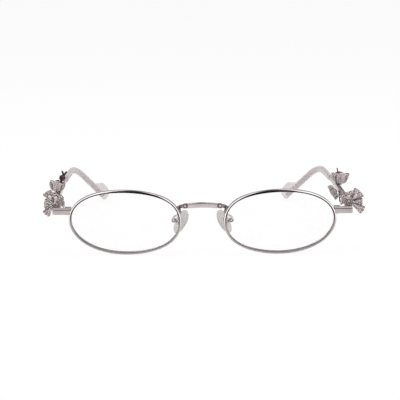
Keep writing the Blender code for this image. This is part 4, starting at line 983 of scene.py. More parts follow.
def clear_plastic(name, tint):
    """Clear plastic: light passes its middle; towards its outline it grows more opaque and a
    painted dark edge stands in for refraction.
    """
    centre, edge, roughness, power, grain = CLEAR[name]
    recipe = Recipe(name, {"IOR": 1.47, "Specular IOR Level": 0.6})
    facing = recipe.read(
        recipe.add("ShaderNodeLayerWeight", {}, {"Blend": 0.5}), "Facing")
    cloud = recipe.noise(grain * MM, 3)
    body = recipe.level(facing ** power, 0.0, 1.0, centre, edge)
    alpha = body + recipe.level(cloud, 0.35, 0.65, -0.012, 0.012)
    color = recipe.mix(recipe.level(cloud, 0.3, 0.7), tint, shade(tint, 0.96))
    # painted dark edge: the tint darkens where the surface turns away, in place of refraction
    color = recipe.mix(recipe.level(facing, 0.78, 0.98) * 0.85, color, shade(tint, 0.45))
    return recipe.put(
        Base_Color=color, Alpha=alpha,
        Roughness=recipe.level(cloud, 0.3, 0.7, roughness, roughness + 0.08))


# Operators

class EYEWEAR_OT_rims(bpy.types.Operator):
    """Build both rims and finish the lenses"""

    bl_idname = "eyewear.rims"
    bl_label = "Rims and Lenses"

    def execute(self, context):
        width = sizes().rim_width / MM
        metal = rim_metal("rim_metal")
        glass = clear_plastic("clear_lens", LENS_TINT)
        stand_up = Matrix.Rotation(math.pi / 2, 4, "X")
        outline = rim_outline(width)
        for word, side in SIDES.items():
            points = [rim_point(2 * math.pi * step / OVAL_STEPS, side)
                      for step in range(OVAL_STEPS)]
            rim = sweep(f"rim_wire_{word}", [(point.x, point.z, -point.y) for point in points],
                        outline, closed=True)
            mark_rim(rim, side, width)
            settle(rim, rim_place(side) @ stand_up)
            hand_over(soften(rim, 40), "front", "silver", metal, f"rim_{word}")
            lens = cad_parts[f"lens_{word}"]
            lens.data.materials.clear()
            lens.data.materials.append(glass)
        return {"FINISHED"}


def rim_outline(width):
    """The rim's section: a crowned front, rounded corners and a lens groove inside."""
    half, depth = width / 2, RIM_DEPTH / 2
    (centre_x, centre_y), (radius_x, radius_y) = RIM_CORNER_CENTRE, RIM_CORNER_RADII
    back = [(half, RIM_SIDE * depth)]
    back += [(half * (centre_x + radius_x * math.cos(angle)),
              depth * (centre_y + radius_y * math.sin(angle))) for angle in RIM_CORNER_ANGLES]
    back += [(half * x, depth * y) for x, y in RIM_CROWN]
    back += [(half * x, y) for x, y in RIM_GROOVE]
    front = [(x, -y) for x, y in back]
    return [(x * MM, y * MM) for x, y in (back[0], *front, *reversed(back[1:]))]


def mark_rim(rim, side, width):
    """Store on each point how far inward and how high it lies, and the top's stretch of painted
    shade.
    """
    marks = {"inward": [], "upper": [], "shadow": []}
    middle, reach = RIM_SHADOW
    for vert in rim.data.vertices:
        flat = Vector((vert.co.x, vert.co.y)) / MM
        angle = math.atan2(flat.y / LENS_HEIGHT, flat.x / LENS_WIDTH)
        # a few steps towards the nearest point of the oval
        for _ in range(4):
            tangent = oval_tangent(angle, side)
            miss = flat - oval_point(angle, side)
            angle += 2 * ANGLE_STEP * miss.dot(tangent) / tangent.length_squared
        outset = (flat - oval_point(angle, side)).dot(oval_normal(angle, side))
        marks["inward"].append(0.5 - outset / width)
        marks["upper"].append(ease(clamp(0.5 + RIM_UPPER_SPREAD * math.sin(angle))))
        away = (-side * flat.x - middle) / reach
        marks["shadow"].append(max(0.0, 1 - away ** 2) if flat.y > 0 else 0.0)
    for name, values in marks.items():
        mark(rim, name, values)


class EYEWEAR_OT_bridge(bpy.types.Operator):
    """Build the arched bar, its necks, collars and solder joints"""

    bl_idname = "eyewear.bridge"
    bl_label = "Bridge"

    def execute(self, context):
        metal = polished_metal("bridge_metal")
        joint_metal = polished_metal("joint_metal")
        whole = mirrored(reversed(BRIDGE_BAR), -1) + list(BRIDGE_BAR[1:])
        bar = sweep("bridge_front", metres(smooth_path(whole, steps=12)),
                    crowned_outline(*BRIDGE_SIZE))
        bevel_edges(bar, EDGES["bar"], 3)
        # the bar's second tone is a painted dark reflection on its crest
        mark(bar, "second", [crest_painted_reflection(vert.co / MM) for vert in bar.data.vertices])
        pieces = [bar]
        outline = rounded_outline(*(size * NECK_SHARE for size in BRIDGE_SIZE))
        for word, side in SIDES.items():
            line = smooth_path(mirrored(BRIDGE_NECK, side), steps=8)
            neck = sweep(f"neck_{word}", metres(line), outline)
            # the necks' darker second tone is painted shade
            mark(neck, "second")
            pieces.append(neck)
            # the joints take a darker copy of the metal, painted shade
            hand_over(solder_joint(word, side), "front", "silver", joint_metal)
        bridge = soften(join("bridge_bar_polished", pieces), 40)
        hand_over(bridge, "front", "silver", metal, "bridge_bar")
        self.add_collars()
        return {"FINISHED"}

    def add_collars(self):
        """Rectangular collars with a sunk window and a little stone on their faces."""
        # the collars' dark metal is painted shade on the one plated metal
        dark = polished_metal("collar_metal")
        glint = cut_crystal("collar_stone")
        for word, side in SIDES.items():
            start, end = [Vector(point) for point in mirrored(BRIDGE_NECK[:2], side)]
            along = (end - start).normalized()
            back = (Vector((0, 1, 0)) - along * along.y).normalized()
            place = at((start + end) / 2) @ turned(along, back, along.cross(back))
            collar = block(f"collar_{word}", COLLAR_SIZE)
            with editing(collar):
                pick_faces(collar, lambda spot, normal: abs(normal.x) < 0.5)
                bpy.ops.mesh.inset(thickness=COLLAR_FRAME * MM, use_individual=True)
                sink_faces(COLLAR_WINDOW_DEPTH)
            bevel_edges(collar, EDGES["collar"], degrees=40)
            settle(soften(collar, 30), place)
            hand_over(collar, "front", "silver", dark, f"bridge_collar_{word}")
            seats = [at((0, face * COLLAR_STONE_LIFT, 0))
                     @ Matrix.Rotation(-face * math.pi / 2, 4, "X") for face in (-1, 1)]
            stones = scatter(f"collar_stones_{word}", brilliant(), [
                place @ seat @ Matrix.Scale(COLLAR_STONE * MM, 4) for seat in seats])
            hand_over(stones, "front", "silver", glint)


def crest_painted_reflection(point):
    """The painted dark reflection on the crest of the bridge, an oval, from 0 to 1."""
    middle, half_length, lower_edge, height = BRIDGE_CREST
    along = max(0.0, 1 - ((point.x - middle) / half_length) ** 2)
    return along * clamp((point.z - lower_edge) / height)


def crowned_outline(width, height):
    """A flat bar's section whose front bulges a little."""
    outline = rounded_outline(width, height, BRIDGE_POWER, 36)
    return [(x * (1 + BRIDGE_CROWN * math.cos(y / (height * MM) * math.pi)), y)
            for x, y in outline]


def solder_joint(word, side):
    """A banded joint that runs down the rim where the bridge meets it."""
    lug = add_object(bpy.ops.mesh.primitive_uv_sphere_add, f"lug_{word}", segments=24,
                     ring_count=16, radius=1)
    half_width, half_depth, half_height = JOINT_SIZE
    reshape(lug, lambda co: Vector((
        co.x * half_width * (1 + JOINT_BAND * math.cos(JOINT_BANDS * co.z)),
        co.y * half_depth, co.z * half_height)) * MM)
    lean = Matrix.Rotation(side * JOINT_LEAN, 4, "Y")
    return settle(soften(lug, 60), at(JOINT_CENTRE, side) @ lean)


class EYEWEAR_OT_nose_pads(bpy.types.Operator):
    """Build the soft pads, their boxes, screws and bent arms"""

    bl_idname = "eyewear.nose_pads"
    bl_label = "Nose Pads"

    def execute(self, context):
        soft = clear_plastic("clear_silicone", colors().pad)
        metal = polished_metal("pad_metal")
        # the curls' darker metal is a painted dark reflection
        dark = polished_metal("curl_metal")
        screw_finish = steel("pad_screw_steel")
        pad = self.pad()
        cage = self.cage()
        for word, side in SIDES.items():
            place = pad_place(side)
            piece = copy_of(pad, f"soft_pad_{word}", place)
            hand_over(weld(piece), f"pad_{word}", "clear_silicone", soft, f"nose_pad_{word}")
            insert = pad_insert(word)
            insert.data.transform(place)
            hand_over(weld(insert), f"pad_{word}", "silver", metal)
            box = copy_of(cage, f"pad_cage_{word}", place)
            hand_over(weld(box), "front", "silver", metal, f"pad_box_{word}")
            screw = slotted_screw(f"pad_pin_{word}", *PAD_SCREW)
            turn = Matrix.Rotation(-side * math.pi / 2, 4, "X")
            settle(screw, place @ turn @ at((0, 0, PAD_SCREW_LIFT)))
            hand_over(weld(screw), "front", "screw_steel", screw_finish, f"pad_screw_{word}")
            arm = round_wire(f"pad_arm_wire_{word}", mirrored(PAD_ARM, side), PAD_ARM_RADIUS)
            hand_over(arm, "front", "silver", metal, f"pad_arm_{word}")
            hand_over(pad_ring(word, side), "front", "silver", dark)
        for helper in (pad, cage):
            bpy.data.objects.remove(helper)
        return {"FINISHED"}

    def pad(self):
        """A flattened oval, wider above, domed in front and flat behind."""
        pad = add_object(bpy.ops.mesh.primitive_uv_sphere_add, "pad_shape", segments=48,
                         ring_count=32, radius=1, rotation=(0, math.pi / 2, 0))
        settle(pad)
        thickness, width, height = PAD_SIZE

        def rule(co):
            depth = thickness * (PAD_FRONT_SHARE if co.x > 0 else 1 - PAD_FRONT_SHARE)
            bulge = math.copysign(abs(co.x) ** PAD_DOME, co.x)
            return Vector((
                bulge * depth + PAD_SHIFT, co.y * (1 + PAD_WIDENING * co.z) * width / 2,
                co.z * height / 2)) * MM
        reshape(pad, rule)
        return soften(weld(pad), 60)

    def cage(self):
        """The metal cage that holds the pad's boss: a channel with rounded edges."""
        cage = block("cage_shape", CAGE_SIZE)
        with editing(cage):
            pick_faces(cage, lambda spot, normal: normal.x > 0.5)
            bpy.ops.mesh.inset(thickness=CAGE_WALL * MM)
            sink_faces(CAGE_DEPTH)
        bevel_edges(cage, EDGES["cage"], 3, 40)
        return settle(soften(cage, 40), at((CAGE_SHIFT, 0, 0)))


def pad_place(side):
    """The pad's frame: long axis up, face towards the nose, origin on its screw."""
    normal, across, along = [Vector(axis) for axis in PAD_TURN]
    if side < 0:
        normal, along = [Vector((-v.x, v.y, v.z)) for v in (normal, along)]
        across = along.cross(normal)
    return at(PAD_AXIS, side) @ turned(normal, across, along)


def pad_ring(word, side):
    """The small closed curl in the pad arm beside its box."""
    ring = add_object(
        bpy.ops.mesh.primitive_torus_add, f"pad_curl_{word}", major_segments=40,
        minor_segments=14, major_radius=PAD_RING_RADIUS * MM, minor_radius=PAD_RING_WIRE * MM)
    settle(ring, at(PAD_RING, side) @ Matrix.Rotation(math.pi / 2, 4, "X"))
    return soften(ring, 60)


def pad_insert(word):
    """The small metal plate and tab moulded into the pad's back."""
    insert = add_object(
        bpy.ops.mesh.primitive_cylinder_add, f"pad_insert_{word}", vertices=32, radius=1,
        depth=1, rotation=(0, math.pi / 2, 0), location=(INSERT_SHIFT * MM, 0, 0))
    insert.scale = Vector(INSERT_SIZE) * MM
    bevel_edges(settle(insert), EDGES["insert"])
    tab = block("pad_tab", TAB_SIZE, (TAB_SHIFT, 0, 0))
    bevel_edges(tab, EDGES["tab"])
    return soften(join(f"pad_insert_{word}", [insert, tab]), 40)


def slotted_screw(name, head_radius, head_height, shank_radius, length):
    """A screw standing on Z with a slotted head, its head's underside at the origin."""
    screw = add_object(
        bpy.ops.mesh.primitive_cylinder_add, name, vertices=32, radius=shank_radius * MM,
        depth=length * MM, location=(0, 0, -length / 2 * MM))
    with editing(screw):
        pick_faces(screw, lambda spot, normal: normal.z > 0.5)
        raise_faces(0, head_radius / shank_radius)
        raise_faces(head_height * MM)
        bpy.ops.mesh.inset(thickness=head_radius * SCREW_INSET * MM)
        bpy.ops.transform.translate(value=(0, 0, head_height * SCREW_RISE * MM))
    slot = block("slot_cutter", (head_radius * SLOT_WIDTH, head_radius * SLOT_LENGTH,
                                 head_height * SLOT_DEPTH), (0, 0, head_height * SLOT_LIFT))
    cut = screw.modifiers.new("slot", "BOOLEAN")
    cut.operation = "DIFFERENCE"
    cut.object = slot
    apply_modifiers(screw)
    bpy.data.objects.remove(slot)
    return soften(screw, 30)


class EYEWEAR_OT_end_pieces(bpy.types.Operator):
    """Build the bent end pieces, the hinge barrels, rim locks and screws"""

    bl_idname = "eyewear.end_pieces"
    bl_label = "End Pieces and Hinges"

    def execute(self, context):
        metal = polished_metal("end_metal")
        dark = polished_metal("seam_metal")
        screw_finish = steel("hinge_steel")
        upside_down = Matrix.Rotation(math.pi, 4, "X")
        for word, side in SIDES.items():
            place = at(HINGE, side)
            layers = [bent_plate(f"plate_{word}_{index}", side, *layer)
                      for index, layer in enumerate(END_LAYERS)]
            # the middle layer is painted near black: painted shade and dark reflection in the seam
            seam = settle(soften(layers.pop(1)), place)
            hand_over(seam, "front", "silver", dark)
            knuckles = [barrel(f"barrel_{word}_{index}", side, -1, *span)
                        for index, span in enumerate(FIXED_KNUCKLES)]
            end = soften(join(f"end_plate_{word}", [*layers, *knuckles]))
            hand_over(settle(end, place), "front", "silver", metal, f"end_piece_{word}")
            lock = settle(self.lock(word, side), place)
            hand_over(lock, "front", "silver", metal, f"rim_lock_{word}")
            for pin, screw, measures, spot in (
                    ("hinge_pin", "hinge_screw", HINGE_SCREW, at((0, 0, HINGE_SCREW_LIFT))),
                    ("lock_pin", "rim_lock_screw", LOCK_SCREW,
                     at(LOCK_SCREW_PLACE, side) @ upside_down)):
                piece = settle(slotted_screw(f"{pin}_{word}", *measures), place @ spot)
                hand_over(piece, "front", "screw_steel", screw_finish, f"{screw}_{word}")
        return {"FINISHED"}

    def lock(self, word, side):
        """The split block that closes the rim, its joint line cut across it."""
        x, y, z = LOCK_CENTRE
        lock = block(f"rim_lock_block_{word}", LOCK_SIZE, (side * x, y, z))
        with editing(lock):
            for height in (-LOCK_SEAM_HALF, LOCK_SEAM_HALF):
                bpy.ops.mesh.select_all(action="SELECT")
                bpy.ops.mesh.bisect(plane_co=(0, 0, height * MM), plane_no=(0, 0, 1))
            pick_faces(lock, lambda spot, normal: (
                abs(spot.z) < LOCK_SEAM_HALF / 2 * MM and abs(normal.z) < 0.5))
            sink_faces(LOCK_SEAM_DEPTH)
        bevel_edges(lock, EDGES["lock"])
        return soften(weld(lock, 4))


def bent_plate(name, side, low, high, inset, rounding):
    """A layer of the end piece: a front plate that turns back round a rounded corner."""
    front, inner, outer = END_FRONT + inset, END_INNER + inset, END_OUTER - inset
    outline = [(inner, front)]
    for step in range(END_CORNER_STEPS + 1):
        angle = math.pi / 2 * (step / END_CORNER_STEPS - 1)
        outline.append((outer - END_CORNER * (1 - math.cos(angle)),
                        front + END_CORNER * (1 + math.sin(angle))))
    outline += [(outer, END_BUTT), (END_LEG, END_BUTT), (END_LEG, END_BACK + END_FILLET),
                (END_LEG - END_FILLET, END_BACK), (inner, END_BACK)]
    plate = new_curve(name, flat=True)
    plate.data.fill_mode = "BOTH"
    plate.data.extrude = ((high - low) / 2 - rounding) * MM
    plate.data.bevel_depth = rounding * MM
    plate.data.bevel_resolution = 4
    plate.data.offset = -rounding * MM
    poly_spline(plate.data, [(side * x * MM, y * MM, 0) for x, y in outline], True)
    plate.location.z = (high + low) / 2 * MM
    return curve_to_mesh(plate)


def barrel(name, side, toward, low, high):
    """One slice of a hinge barrel with the web that ties it to its leaf."""
    middle, height = (high + low) / 2, high - low
    ring = settle(add_object(
        bpy.ops.mesh.primitive_cylinder_add, name, vertices=32, radius=BARREL_RADIUS * MM,
        depth=height * MM, location=(0, 0, middle * MM)))
    bevel_edges(ring, EDGES["barrel"])
    web = block(f"{name}_web", (*WEB_SIZE, height - WEB_INSET),
                (side * WEB_OFFSET[0], toward * WEB_OFFSET[1], middle))
    bevel_edges(web, EDGES["web"])
    return join(name, [ring, web])


class EYEWEAR_OT_temples(bpy.types.Operator):
    """Build the metal arms with their cores, and the clear tips"""

    bl_idname = "eyewear.temples"
    bl_label = "Temples and Tips"

    def execute(self, context):
        metal = polished_metal("arm_metal")
        clear = clear_plastic("clear_tip", colors().sleeve)
        for word, side in SIDES.items():
            body = f"temple_{word}"
            arm = temple_piece(f"arm_{word}", word, TEMPLE_LENGTH, ARM_END, ARM_SIZE[0],
                               lambda distance: (ARM_SIZE[1] / 2, ARM_SIZE[1] / 2, 1.0),
                               ARM_POWER)
            core = temple_piece(f"core_{word}", word, ARM_END + CORE_OVERLAP, CORE_END,
                                CORE_SIZE[0],
                                lambda distance: (CORE_SIZE[1] / 2, CORE_SIZE[1] / 2, 1.0),
                                CORE_POWER)
            mark(core, "second")
            knuckle = barrel(f"knuckle_{word}", side, 1, *MOVING_KNUCKLE)
            turn = Matrix.Rotation(side * TEMPLE_TURN[word], 4, "Z")
            settle(knuckle, at(HINGE, side) @ turn)
            whole = soften(join(f"arm_with_core_{word}", [arm, core, knuckle]), 40)
            hand_over(whole, body, "silver", metal, f"temple_arm_{word}")
            tip = temple_piece(f"clear_sleeve_{word}", word, SLEEVE_LENGTH, SLEEVE_END,
                               SLEEVE_SIZE[0], sleeve_reach, SLEEVE_POWER)
            hand_over(soften(tip, 45), body, "clear_tip", clear, f"temple_tip_{word}")
        return {"FINISHED"}


def sleeve_reach(distance):
    """How far the clear tip reaches above and below its core, and its share of thickness."""
    half = SLEEVE_SIZE[1] / 2
    mouth = min(1.0, (SLEEVE_LENGTH - distance) / SLEEVE_TAPER)
    half *= SLEEVE_MOUTH_SHARE + (1 - SLEEVE_MOUTH_SHARE) * mouth
    above = below = half
    if distance < LOBE_END:
        above = LOBE_REACH * math.sqrt(1 - (1 - distance / LOBE_END) ** 2)
    elif distance < LOBE_LENGTH:
        above += (LOBE_REACH - half) * ease(min(1.0, (LOBE_LENGTH - distance) / LOBE_SWELL))
    if distance < LOBE_END_BELOW:
        below *= math.sqrt(1 - (1 - distance / LOBE_END_BELOW) ** 2)
    thickness = min(1.0, LOBE_END_THICKNESS + distance / LOBE_END_BELOW)
    lip = min(1.0, (SLEEVE_LENGTH - distance) / SLEEVE_LIP_RUN)
    return above, below, thickness * (SLEEVE_LIP + (1 - SLEEVE_LIP) * lip)


def temple_piece(name, word, start, end, thickness, reach, power):
    """A length of the temple between two distances to its end, with its own section."""
    stations = [start]
    while stations[-1] > end:
        here = stations[-1]
        if start - here < 1:
            step = START_STEP
        elif here < LOBE_END_BELOW:
            step = END_STEP
        else:
            step = BEND_STEP if here < BEND_ZONE else ARM_STEP
        stations.append(max(end, here - step))
    outline = rounded_outline(1.0, 1.0, power, 32)
    points = [(index * MM, 0, 0) for index in range(len(stations))]
    bar = sweep(name, points, outline)

    def rule(co):
        distance = stations[min(len(stations) - 1, max(0, round(co.x / MM)))]
        above, below, share = reach(distance)
        height = co.z / MM * 2
        centre, up, across = temple_frame(word, distance)
        return (centre + up * height * (above if height > 0 else below)
                + across * (co.y / MM * thickness * share)) * MM
    reshape(bar, rule)
    return weld(bar, 1)


def temple_frame(word, distance):
    """The temple's centre, height axis and side axis at a distance to its end."""
    side = SIDES[word]
    centre, ahead = temple_point(distance)
    high, low = TIP_TURN_SPAN
    blend = clamp((high - distance) / (high - low))
    goal = Vector((-TIP_TURN[0] * blend, TIP_TURN[1] * blend, TIP_TURN[2]))
    up = (goal - ahead * goal.dot(ahead)).normalized()
    across = ahead.cross(up)
    turn = Matrix.Rotation(TEMPLE_TURN[word], 3, "Z")
    result = []
    for vector, origin in ((centre, Vector(HINGE)), (up, Vector()), (across, Vector())):
        vector = turn @ vector + origin
        result.append(Vector((side * vector.x, vector.y, vector.z)))
    return result


def temple_point(distance):
    """A point on the left temple's centre line from its hinge, and the line's direction."""
    rise = math.tan(ARM_RISE)
    inward = -2 * ARM_CURVE / (ARM_LENGTH - ARM_CURVE_START)
    forward = Vector((inward, 1, rise)).normalized()
    back = TEMPLE_LENGTH - distance
    if back < ARM_LENGTH:
        share = max(0.0, back - ARM_CURVE_START) / (ARM_LENGTH - ARM_CURVE_START)
        point = Vector((TEMPLE_OUT - ARM_CURVE * share ** 2, back, back * rise))
        return point, Vector((inward * share, 1, rise)).normalized()
    bend = Vector((TEMPLE_OUT - ARM_CURVE, ARM_LENGTH, ARM_LENGTH * rise))
    turn = Vector((-math.sin(EAR_BEND_LEAN), 0, -math.cos(EAR_BEND_LEAN)))
    turn = (turn - forward * turn.dot(forward)).normalized()
    angle = min(EAR_BEND_ANGLE, (back - ARM_LENGTH) / EAR_BEND_RADIUS)
    point = bend + EAR_BEND_RADIUS * (
        math.sin(angle) * forward + (1 - math.cos(angle)) * turn)
    ahead = math.cos(angle) * forward + math.sin(angle) * turn
    beyond = back - ARM_LENGTH - EAR_BEND_RADIUS * angle
    return point + ahead * beyond, ahead


# Stones, petals and buds

def brilliant():
    """A round cut stone of diameter 1 with its girdle on the XY plane. It is made once."""
    known = bpy.data.objects.get(STONE_MODEL)
    if known:
        return known
    stone = add_object(bpy.ops.mesh.primitive_cylinder_add, STONE_MODEL, vertices=10,
                       radius=0.5, depth=STONE_GIRDLE)
    with editing(stone):
        pick_faces(stone, lambda spot, normal: normal.z > 0.5)
        raise_faces(*STONE_TABLE)
        bpy.ops.transform.rotate(
            value=STONE_TURN, orient_axis="Z", center_override=(0, 0, 0))
        pick_faces(stone, lambda spot, normal: normal.z < -0.5)
        raise_faces(*STONE_POINT)
    stone.hide_render = True
    return stone


def bead_grain():
    """A tiny ball of metal of radius 1. It is made once."""
    known = bpy.data.objects.get(GRAIN_MODEL)
    if known:
        return known
    grain = add_object(bpy.ops.mesh.primitive_ico_sphere_add, GRAIN_MODEL, subdivisions=1,
                       radius=1)
    bpy.ops.object.shade_smooth()
    grain.hide_render = True
    return grain


def scatter(name, model, places):
    """One piece made of a copy of a model at every place."""
    copies = [copy_of(model, f"{name}_{index}", place) for index, place in enumerate(places)]
    for twin in copies:
        twin.hide_render = False
    return join(name, copies)


def petal_lift(along, across):
    """Height of a petal's face at shares of its length and half width."""
    lengthwise, sideways = PETAL_CUP_SHARES
    return PETAL_CUP * (along ** 2 * lengthwise + across ** 2 * along * sideways)


def petal_reach(length):
    """The length of a petal's face between its base and its scallops."""
    return length - PETAL_SCALLOP - PETAL_START


def petal_point(length, width, along, across):
    """A point on a petal's face in the petal's own frame, in millimetres."""
    widening = (width / 2 - PETAL_BASE_HALF_WIDTH) * along ** PETAL_FLARE
    wave = abs(math.cos(PETAL_SCALLOPS / 2 * math.pi * across))
    run = petal_reach(length) * along * (1 - PETAL_ROUNDING * across ** 2)
    return Vector((PETAL_START + run + PETAL_SCALLOP * wave * along ** 2,
                   across * (PETAL_BASE_HALF_WIDTH + widening), petal_lift(along, across)))


def petal_share(length, place):
    """The share of a petal's face at a share of the petal's whole length."""
    return (place * length - PETAL_START) / petal_reach(length)


def gathered(value, cells, border):
    """Slide a grid line so that two narrow rows lie along each edge."""
    line = round((value + 1) / 2 * cells)
    start = min(line, cells - line)
    if start <= 2:
        edge = (0, border, border * 1.5)[start]
    else:
        edge = border * 1.5 + (start - 2) / (cells / 2 - 2) * (1 - border * 1.5)
    return edge - 1 if line <= cells / 2 else 1 - edge


def petal_seat(length, width, along, across):
    """A stone's seat on a petal: its place, and Z away from the face."""
    here = petal_point(length, width, along, across)
    ahead = petal_point(length, width, along + SHARE_STEP, across) - here
    aside = petal_point(length, width, along, across + SHARE_STEP) - here
    normal = ahead.cross(aside).normalized()
    first = ahead.normalized()
    return at(here) @ turned(first, normal.cross(first), normal)


def petal_place(side, direction, lean):
    """Turns a petal from its hub towards its direction, leaning forward."""
    angle, tilt = math.radians(direction), math.radians(lean)
    along = Vector((math.cos(angle) * math.cos(tilt), -math.sin(tilt),
                    math.sin(angle) * math.cos(tilt)))
    facing = Vector((0, -1, 0))
    facing = (facing - along * facing.dot(along)).normalized()
    for vector in (along, facing):
        vector.x *= side
    return turned(along, facing.cross(along), facing)


class EYEWEAR_OT_blossoms(bpy.types.Operator):
    """Build the two large blossoms with their petals, stones and hubs"""

    bl_idname = "eyewear.blossoms"
    bl_label = "Blossoms"

    def execute(self, context):
        setting = setting_metal("petal_metal")
        crystal = cut_crystal("petal_crystal")
        large = cut_crystal("large_crystal")
        grain = polished_metal("grain_metal")
        for word, side in SIDES.items():
            body = f"temple_{word}"
            centre = at(HUB[word]) @ Matrix.Rotation(side * TEMPLE_TURN[word], 4, "Z")
            for petal, (direction, lean, length, width) in PETALS[word].items():
                place = centre @ petal_place(side, direction, lean)
                plate = self.plate(f"petal_{word}_{petal}", length, width)
                hand_over(weld(settle(plate, place), 2), body, "silver", setting,
                          f"blossom_{word}_petal_{petal}")
                seats, grains = self.seats(petal, length, width)
                stones = scatter(f"pave_{word}_{petal}", brilliant(),
                                 [place @ seat for seat in seats])
                hand_over(stones, body, "crystal", crystal)
                beads = scatter(f"grains_{word}_{petal}", bead_grain(),
                                [place @ seat for seat in grains])
                hand_over(beads, body, "silver", grain)
                if petal in LARGE_STONES:
                    long, wide, share = LARGE_STONES[petal]
                    seat = petal_seat(length, width, petal_share(length, share), 0.0)
                    spread = Matrix.Diagonal((long * MM, wide * MM, LARGE_HEIGHT * MM, 1))
                    stone = scatter(f"stone_{word}_{petal}", brilliant(),
                                    [place @ seat @ at((0, 0, LARGE_LIFT)) @ spread])
                    hand_over(stone, body, "crystal", large, f"blossom_{word}_stone_{petal}")
            hub = settle(self.hub(word, side), centre)
            hand_over(hub, body, "silver", setting, f"blossom_{word}_hub")
        return {"FINISHED"}

    def plate(self, name, length, width):
        """A cupped fan with a scalloped edge and a raised border."""
        plate = add_object(bpy.ops.mesh.primitive_grid_add, name, size=2,
                           x_subdivisions=PETAL_CELLS[0], y_subdivisions=PETAL_CELLS[1])
        reach = petal_reach(length)

        def rule(co):
            along = (1 + gathered(co.x, PETAL_CELLS[0], BORDER_WIDTH * 2 / reach)) / 2
            half = PETAL_BASE_HALF_WIDTH + (width / 2 - PETAL_BASE_HALF_WIDTH) * along
            across = gathered(co.y, PETAL_CELLS[1], BORDER_WIDTH / half)
            seat = petal_seat(length, width, min(along, 0.999), across)
            inner = min((1 - abs(across)) * half, (1 - along) * reach)
            sunk = BORDER_HEIGHT if inner > BORDER_WIDTH * 1.01 else 0
            return seat @ Vector((0, 0, -sunk * MM))
        reshape(plate, rule)
        skin = plate.modifiers.new("thickness", "SOLIDIFY")
        skin.thickness = PETAL_THICKNESS * MM
        skin.offset = -1
        front_points = len(plate.data.vertices)
        border = {front_points + index for index in border_points(plate)}
        apply_modifiers(plate)
        # painted shade: a little on the back, full on the back's border, which shows as a dark
        # outline between petals
        depths = [0.0 if index < front_points else BACK_SHADE
                  for index in range(len(plate.data.vertices))]
        for index in border:
            depths[index] = 1.0
        mark(plate, "deep", depths)
        return soften(plate, 40)

    def seats(self, petal, length, width):
        """Places of the small stones in rows across a petal, and of the grains between."""
        size = sizes().stone_size / MM
        reach = petal_reach(length)
        rows = max(2, int((reach - ROW_SPARE) / STONE_SPACING) + 1)
        large = LARGE_STONES.get(petal)
        middle = petal_point(length, width, petal_share(length, large[2] if large else 0.5), 0.0)
        grain = Matrix.Scale(GRAIN_RADIUS * MM, 4)
        seats, grains = [], []
        for row in range(rows):
            along = (ROW_START + row * (reach - ROW_MARGIN) / (rows - 1)) / reach
            edge = petal_point(length, width, along, 1.0)
            span = max(0.0, 2 * (edge.y - SIDE_MARGIN) - size)
            count = int(span / STONE_SPACING) + 1
            spacing = span / max(count - 1, 1)
            fit = Matrix.Scale(size * (FIRST_ROW_FIT if row == 0 else 1.0) * MM, 4)
            for index in range(count):
                offset = (index - (count - 1) / 2) * spacing
                across = offset / edge.y if count > 1 else 0.0
                seat = petal_seat(length, width, along, across)
                if large and self.meets_large(seat.translation / MM - middle, large):
                    continue
                seats.append(seat @ at((0, 0, STONE_LIFT)) @ fit)
                if index:
                    between = petal_seat(length, width, min(1.0, along + GRAIN_AHEAD),
                                         across - 0.5 * spacing / edge.y)
                    grains.append(between @ grain)
        if not grains:
            grains.append(petal_seat(length, width, 0.3, 0.0) @ grain)
        return seats, grains

    def meets_large(self, away, large):
        """Whether a small stone at a distance from the large one would meet it."""
        reach_x, reach_y = LARGE_CLEARANCE
        return (away.x / (large[0] * reach_x)) ** 2 + (away.y / (large[1] * reach_y)) ** 2 < 1

    def hub(self, word, side):
        """A ribbed dome on the arm's outer face."""
        hub = add_object(bpy.ops.mesh.primitive_uv_sphere_add, f"hub_{word}", segments=36,
                         ring_count=18, radius=HUB_RADIUS * MM)
        with editing(hub):
            bpy.ops.mesh.select_all(action="SELECT")
            bpy.ops.mesh.bisect(
                plane_co=(0, 0, 0), plane_no=(side, 0, 0), clear_inner=True, use_fill=True)
        reshape(hub, lambda co: co * (
            1 - HUB_RIB_DEPTH * abs(math.sin(HUB_RIBS / 2 * math.atan2(co.z, co.y)))
            * (1 - abs(co.x) / (HUB_RADIUS * MM))))
        weld(hub)
        # painted shade on the hub's lower half
        mark(hub, "deep", [vert.co.z < 0 for vert in hub.data.vertices])
        return soften(hub, 45)


